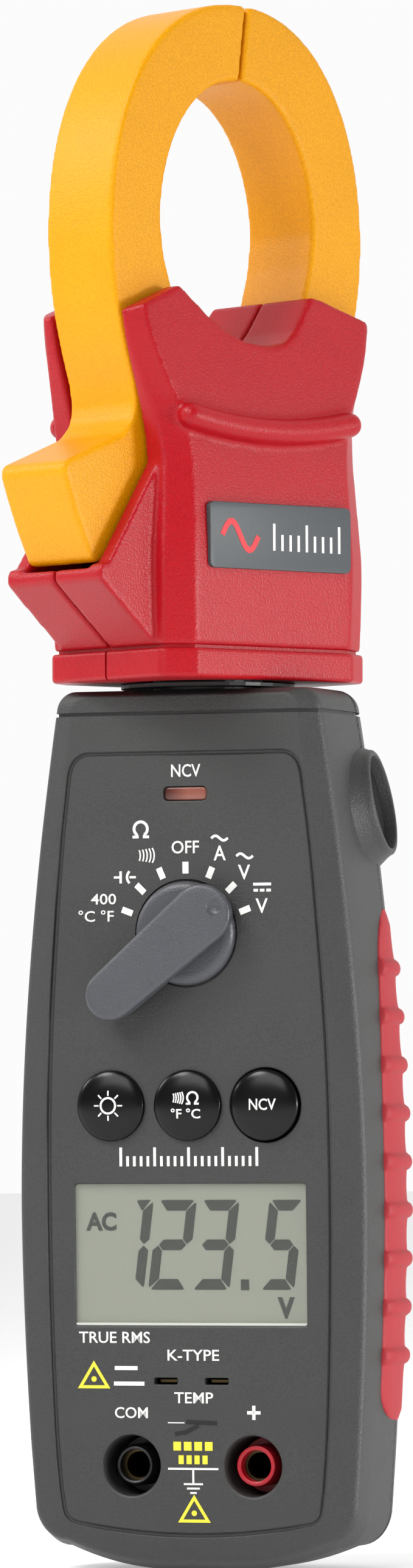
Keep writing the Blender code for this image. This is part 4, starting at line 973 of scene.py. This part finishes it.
def make_button_prints():
    face = -front_depth(BUTTON_Z)
    sun = stroke(circle(0.0, 0.0, 1.15, 28), 0.3, closed=True)
    sun += spokes(0.0, 0.0, 1.85, range(0, 360, 45), 0.22, 0.75)
    mode = sound(-0.95, 1.1, 1.5, 1.8, 0.2) + ohm(1.2, 1.05, 1.9, 0.3)
    mode += lettering("\u00b0F \u00b0C", 0.1, -1.2, 4.6, 1.5, 0.015)
    sensing = lettering("NCV", 0.05, 0.1, 4.2, 1.7, 0.01)
    for (name, index), shapes in zip(BUTTONS, (sun, mode, sensing)):
        centre = index * BUTTON_PITCH

        def height_at(x, z, centre=centre):
            return face - dome_height(hypot(x - centre, z - BUTTON_Z))

        moved = [[(x + centre, z + BUTTON_Z) for x, z in shape] for shape in shapes]
        print_on(f"{name}_mark", moved, height_at, name, "white_plastic", "white_print", 0.06)


SEGMENTS = {"1": "hbc", "2": "abged", "3": "abgcd", "5": "afgcd"}


def digit(symbol, x, z, width, height, thick=1.6, slant=0.13):
    """Seven-segment digit with its lower left corner at (x, z). Segment h is the serif of a 1."""
    w, h, t = width, height, thick
    m, g, c, e = height / 2, 0.1, 0.35, 0.15
    u, v, b, i = m + t / 2, m - t / 2, w - t + g, w - g - c
    shapes = {
        "a": [(g + c, h - e), (g + 2 * c, h), (i - c, h), (i, h - e), (w - t, h - t), (t, h - t)],
        "g": [(g + t / 2, m), (t, u), (w - t, u), (w - t / 2 - g, m), (w - t, v), (t, v)],
        "d": [(t, t), (w - t, t), (i, e), (i - c, 0), (g + 2 * c, 0), (g + c, e)],
        "b": [(w, h - 2 * c), (w - e, h - c), (b, h - t), (b, u + g), (w - t / 2, m + g), (w, u)],
        "c": [(w, v), (w - t / 2, m - g), (b, v - g), (b, t), (w - e, c), (w, 2 * c)],
        "f": [(0, h - 2 * c), (0, u), (t / 2, m + g), (t - g, u + g), (t - g, h - t), (e, h - c)],
        "e": [(0, v), (0, 2 * c), (e, c), (t - g, t), (t - g, v - g), (t / 2, m - g)],
        "h": [(w - 2.6, h - 0.2), (w - 2.4, h), (i, h), (w - t, h - t), (w - 1.9, h - 1.25)],
    }
    return [[(x + p + slant * q, z + q) for p, q in shapes[key]] for key in SEGMENTS[symbol]]


def make_display_marks():
    low, tall = 41.6, 13.3
    dark = digit("1", -13.2, low, 5.6, tall) + digit("2", -6.9, low, 6.1, tall)
    dark += digit("3", -0.1, low, 6.0, tall) + digit("5", 10.6, low, 5.4, tall)
    dark += bar(8.35, low + 0.75, 1.3, 1.6)
    dark += lettering("AC", -14.2, 51.7, 4.8, 2.8, 0.04) + lettering("V", 14.75, 38.95, 2.7, 3.2, 0.05)

    def height_at(_x, z):
        return 1.03 - front_depth(z)

    print_on("lcd_marks", dark, height_at, "body", "display_glass", "display_ink", 0.03)


# ---- head


HEAD_ROWS = (
    (136.6, 19.4, 19.4, 12.6, 15.0, 15.15), (143.0, 19.55, 19.55, 12.75, 15.2, 15.3),
    (150.0, 19.6, 19.6, 12.8, 15.3, 15.4), (158.0, 19.1, 19.1, 12.4, 15.1, 15.0),
    (165.0, 18.8, 18.8, 11.9, 15.2, 14.4), (171.0, 19.8, 19.4, 11.1, 16.4, 13.8),
    (176.0, 21.2, 20.9, 10.1, 18.8, 13.2), (181.0, 22.6, 23.0, 9.1, 20.8, 12.5),
    (186.5, 23.6, 25.0, 8.6, 21.9, 11.7), (192.0, 23.8, 25.4, 8.4, 22.0, 11.0),
)


def head_corners(z, inset=0.0):
    left, right, bevel, flat, front = curve_through(HEAD_ROWS, z)
    left, right, flat = left - inset, right - inset, flat - 0.7 * inset
    bevel, front = bevel - 0.5 * inset, front - inset
    rear = bevel + 1.1 * min(1.0, max(0.0, (z - 158.0) / 13.0))
    corners = [(right, -bevel), (flat, -front), (-flat, -front), (-left, -bevel)]
    return corners + [(-left, rear), (-flat, front), (flat, front), (right, bevel)]


def head_ring(z, inset=0.0):
    return [Vector((x, y, z)) for x, y in head_corners(z, inset)]


SKYLINE = (
    (-23.6, 186.0, 0), (-14.6, 190.0, 1.0), (-9.3, 185.5, 2.0), (-5.8, 183.3, 3.0), (-2.5, 182.0, 4.0),
    (2.5, 181.6, 4.0), (5.2, 182.3, 3.0), (7.3, 184.2, 3.0), (9.3, 187.1, 3.0), (10.9, 189.6, 1.0),
    (13.0, 189.3, 1.0), (25.4, 185.3, 0), (40.0, 183.0, 0), (40.0, 205.0, 0), (-40.0, 205.0, 0),
    (-40.0, 184.0, 0),
)
SLOT = (
    (-45.0, 200.0), (-45.0, 149.8), (-28.2, 147.6), (-18.6, 139.4), (17.4, 139.4), (17.2, 150.0),
    (16.6, 165.0), (18.4, 173.0), (21.3, 181.0), (23.1, 184.0), (23.75, 186.6), (25.3, 194.0),
    (14.0, 194.0), (12.75, 190.0), (12.4, 188.4), (10.9, 184.4), (9.0, 181.0), (5.9, 179.6),
    (0.0, 179.4), (-4.6, 180.6), (-9.4, 183.4), (-10.2, 186.0), (-12.6, 191.0), (-16.0, 196.0),
)
LEDGE = (
    (-16.0, 137.0, 0), (-19.8, 137.0, 0), (-30.0, 146.1, 1.3), (-29.6, 148.3, 1.0), (-28.2, 148.4, 0.8),
    (-18.2, 164.4, 0), (-16.0, 164.4, 0),
)
HEAD_SCREWS = (("left", -11.0, 143.6), ("right", 13.2, 143.0), ("upper", 12.4, 160.5))
PIVOT = (-12.5, 166.0)


def ridge(side):
    """Finger guard across the front or rear of the head, rounded off at both ends."""
    path, radii = [], []
    for k in range(-24, 25):
        t = k / 24
        x = t * (17.4 if side < 0 else 17.8)
        path.append(Vector((x, side * (14.9 - 0.25 * t * t), 168.7 + 2.1 * t * t)))
        radii.append(1.9 * sqrt(max(0.05, 1.0 - max(0.0, (abs(t) - 0.9) / 0.1) ** 2)))
    return swept(path, radii)


def make_head_shell(node, side):
    """Half of the head's housing: the front one for side -1, the rear one for side 1."""
    base = loft([head_ring(136.6 + 55.4 * k / 40) for k in range(41)])
    hollow = loft([head_ring(z, 2.2) for z in (139.4, 145.0, 150.0, 158.0, 165.0, 171.0, 174.5)])
    steps = [
        (ADD, prism(filleted(LEDGE, 6), -10.9, 10.9)),
        (CUT, prism(filleted(SKYLINE, 6), -30.0, 30.0)),
        (CUT, hollow),
        (CUT, prism(SLOT, -8.1, 8.1)),
        (ADD, rod_y(4.4, *PIVOT, side * 8.2, side * 13.2)),
    ]
    steps += [(ADD, rod_y(2.7, x, z, side * 0.15, side * 13.2)) for _name, x, z in HEAD_SCREWS]
    steps += [(ADD, ridge(side)), (CUT, rod_y(2.15, *PIVOT, -12, 12))]
    if side > 0:
        bore = [(1.5, 0), (1.5, 9.8), (2.4, 9.8), (2.4, 30)]
        steps += [(CUT, turned(bore, (x, 0, z), (0, 1, 0), 40)) for _name, x, z in HEAD_SCREWS]
    steps.append((CUT, rod(8.5, (0, 0, 120), (0, 0, 150))))
    other_half = sorted((-side * 60.0, side * 0.2))
    steps.append((CUT, box((-60.0, other_half[0], 100), (60.0, other_half[1], 250))))
    shell = shaped(base, steps, 0.33, 12)
    piece(f"{node}_moulding", shell, "head", "head_plastic", node, sharp=180.0)


def make_head_collar():
    """Ring that the head turns on, below its groove."""
    outline = grown(filleted([(x, y, 1.4) for x, y in head_corners(131.8)], 5), 0.45)
    rows = ((-1.2, 131.8), (-0.6, 131.8), (-0.25, 131.9), (-0.05, 132.15), (0, 132.5), (0, 135.55))
    rows += ((-0.08, 135.9), (-0.25, 136.08), (-0.55, 136.15), (-1.0, 136.15), (-1.0, 137.2), (-1.3, 137.2))
    ring = loft([[Vector((x, y, z)) for x, y in grown(outline, growth)] for growth, z in rows])
    steps = [(CUT, rod(13.1, (0, 0, 130), (0, 0, 136.2)))]
    steps += [(CUT, box((x, -0.2, 130), (x + 11.2, 0.2, 140))) for x in (-30.0, 18.8)]
    evened(piece("head_collar_ring", shaped(ring, steps), "head", "head_plastic"))


def jaw_outer(angle_deg):
    angle = radians(angle_deg)
    power = 2.0 / 2.2
    x = copysign(24.7 * abs(cos(angle)) ** power, cos(angle))
    return (x, 197.5 + 35.5 * abs(sin(angle)) ** power)


def jaw_hole(angle_deg):
    angle = radians(angle_deg)
    return (14.9 * cos(angle), 199.5 + 22.1 * sin(angle))


def jaw_arc(start, end, count, point):
    return [(*point(start + (end - start) * k / count), 0) for k in range(count + 1)]


def moving_jaw_outline():
    out = [(1.9, 232.95, 0.3)] + jaw_arc(91, 180, 50, jaw_outer)
    out += [(-24.45, 192.5, 9), (-23.7, 187.0, 12), (-22.3, 181.0, 12), (-20.7, 175.8, 7), (-20.2, 172.6, 3)]
    out += [(-20.7, 170.0, 2.2), (-22.6, 167.8, 2.5), (-28.4, 165.4, 9), (-33.6, 163.3, 1.3)]
    out += [(-33.9, 161.8, 1.2), (-31.4, 155.0, 20), (-28.6, 149.0, 1.2), (-27.6, 148.5, 0.8)]
    out += [(-20.6, 150.2, 2), (-17.2, 159.0, 2)]
    out += [(x, z, 0) for x, z in arc(*PIVOT, 6.3, 240, 315, 5)]
    out += [(-3.65, 167.6, 0), (-3.65, 177.4, 0.5), (-6.6, 179.2, 2), (-9.9, 182.2, 4), (-11.6, 186.0, 8)]
    out += [(-12.9, 190.0, 9), (-14.3, 194.6, 9)]
    return filleted(out + jaw_arc(180, 93, 44, jaw_hole) + [(0.5, 221.58, 0.2)])


def fixed_jaw_outline():
    out = [(0.9, 221.58, 0.2)] + jaw_arc(87, 0, 44, jaw_hole)
    out += [(14.3, 194.6, 9), (13.1, 190.2, 6), (12.75, 188.4, 4), (11.2, 184.2, 4), (10.2, 180.8, 2)]
    out += [(10.2, 176.6, 0), (19.0, 176.6, 0), (20.8, 181.0, 4), (22.8, 184.2, 4), (23.4, 186.6, 6)]
    return filleted(out + [(24.4, 192.5, 9)] + jaw_arc(0, 88, 50, jaw_outer) + [(2.3, 232.93, 0.3)])


def core_path(side):
    """Centre line of one half of the core, run on past both ends."""

    def middle(angle):
        a, b = jaw_outer(angle), jaw_hole(angle)
        return ((a[0] + b[0]) / 2, (a[1] + b[1]) / 2)

    crest = middle(90)[1]
    sweep = (76, 66, 52, 38, 24, 10) if side > 0 else (104, 114, 128, 142, 156, 170)
    path = [(x, crest) for x in ((-1.4, 0.8, 2.8) if side > 0 else (4.0, 2.0, 0.0))]
    path += [middle(angle) for angle in sweep]
    if side > 0:
        path += [(18.6, 190.0), (16.9, 183.0), (15.2, 177.0), (12.4, 173.4), (8.0, 172.3)]
    else:
        path += [(-18.4, 190.0), (-16.4, 182.4), (-13.4, 176.4), (-10.2, 173.3), (-6.8, 172.3)]
    return path + [(-8.0 if side > 0 else 2.0, 172.3)]


def make_jaws():
    for node, body, side, outline in (
        ("moving_jaw", "moving_jaw", -1, moving_jaw_outline()),
        ("fixed_jaw", "head", 1, fixed_jaw_outline()),
    ):
        steps = [(CUT, swept_bar(core_path(side), 2.55, 4.3))]
        if side < 0:
            steps += [(CUT, rod_y(2.15, *PIVOT, -20, 20)), (CUT, rod_y(4.6, *PIVOT, -20, -3.6))]
        jaw = shaped(prism(outline, -JAW_HALF, JAW_HALF), steps, 0.32, 18)
        piece(f"{node}_moulding", jaw, body, "jaw_plastic", node, sharp=180.0)


def make_label():
    outline = rounded_rect(0.8, LABEL_Z, 27.6, 9.8, 1.1, 7)
    plate = stepped(outline, ((0.0, -15.0), (0.0, -15.85), (-0.05, -15.97), (-0.18, LABEL_FACE)))
    piece("label_plate_face", plate, "head", "label_plate", "label_plate")

    def height_at(_x, _z):
        return LABEL_FACE

    red = wave(-7.2, LABEL_Z, 7.0, 4.2, 0.9)
    print_on("label_mark_red", red, height_at, "head", "red_plastic", "red_print")
    white = ticks(-0.6, 150.9, 1.6, 9, 4, 4.0, 2.4, 0.45)
    print_on("label_mark_white", white, height_at, "head", "white_plastic", "white_print")


def make_head():
    make_head_shell("head_front_shell", -1)
    make_head_shell("head_rear_shell", 1)
    make_head_collar()
    make_jaws()
    make_label()
    for corner, x, z in HEAD_SCREWS:
        make_screw(f"head_screw_{corner}", x, 10.4, z, 2.1, "head")


# ---- frame nodes, floor, lights and camera


def finish_frame_nodes():
    for node in NODES.values():
        for slot in node.material_slots:
            name = slot.material.name.split(".")[0]
            slot.material = LOOKS.get(name, LOOKS["black_plastic"])


def make_stage():
    bm = bmesh.new()
    bmesh.ops.create_circle(bm, cap_ends=True, radius=6.0, segments=96)
    floor = new_object("studio_floor", bm)
    glow = {"Emission Color": (1.0, 1.0, 1.0, 1.0), "Emission Strength": 0.35}
    look = surface("studio_floor_look", (0.8, 0.8, 0.8), 0.7, 40.0, 0.02, 0.01, 400.0, glow)
    floor.data.materials.append(look)


# Place, target, sides in metres, watts and spread in degrees.
SOFTBOXES = {
    "key_softbox": ((-0.62, -0.7, 1.1), (0, 0, 0.13), (0.45, 0.45), 9.0, 180.0),
    "front_softbox": ((-0.2, -1.15, 0.9), (0, 0, 0.13), (1.0, 0.8), 9.7, 180.0),
    "left_softbox": ((-1.0, -0.15, 0.62), (0, 0, 0.13), (0.3, 0.3), 2.4, 180.0),
    "right_softbox": ((1.15, 0.4, 0.35), (0, 0, 0.13), (0.8, 0.8), 1.4, 180.0),
    "low_right_softbox": ((1.0, -0.12, 0.1), (0.02, 0, 0.03), (0.25, 0.12), 0.28, 34.0),
}


def make_lights():
    """White surroundings, dim in front of the object and bright behind it, and the softboxes."""
    world = bpy.data.worlds.new("studio")
    world.use_nodes = True
    background = world.node_tree.nodes["Background"]
    background.inputs["Color"].default_value = (1.0, 1.0, 1.0, 1.0)
    place = add_node(world, "TexCoord")
    split = add_node(world, "SeparateXYZ")
    behind = add_node(world, "MapRange", From_Min=-0.4, From_Max=0.5, To_Min=0.16, To_Max=0.97)
    link(
        world,
        (place, "Generated", split, "Vector"),
        (split, "Y", behind, "Value"),
        (behind, "Result", background, "Strength"),
    )
    bpy.context.scene.world = world
    for name, (position, target, size, power, spread) in SOFTBOXES.items():
        data = bpy.data.lights.new(name, "AREA")
        data.shape = "RECTANGLE"
        data.size, data.size_y = size
        data.energy = power
        data.spread = radians(spread)
        light = add_object(name, data)
        light.location = position
        light.rotation_euler = (Vector(target) - Vector(position)).to_track_quat("-Z", "Y").to_euler()


# Metres, degrees and millimetres.
CAMERA_PLACE = (0.424936, -1.199983, 0.0678)
CAMERA_HEADING, CAMERA_PITCH, CAMERA_ROLL = 19.527829, 2.208885, -0.298
CAMERA_LENS = 195.6522


def make_camera():
    data = bpy.data.cameras.new("camera")
    data.sensor_fit = "AUTO"
    data.sensor_width = 36.0
    data.lens = CAMERA_LENS
    data.clip_end = 100.0
    camera = add_object("camera", data)
    turn = Matrix.Translation(CAMERA_PLACE)
    for angle, axis in ((CAMERA_HEADING, "Z"), (90.0 + CAMERA_PITCH, "X"), (CAMERA_ROLL, "Z")):
        turn = turn @ Matrix.Rotation(radians(angle), 4, axis)
    camera.matrix_world = turn
    bpy.context.scene.camera = camera
    bpy.context.scene.view_settings.view_transform = "Standard"


make_camera()
make_lights()
make_stage()
finish_frame_nodes()
make_front_cover()
make_rear_cover()
make_hold_guard()
make_grips()
make_case_screws()
make_battery_lid()
make_selector()
make_buttons()
make_jacks()
make_display()
make_indicator()
make_panel_prints()
make_button_prints()
make_display_marks()
make_head()
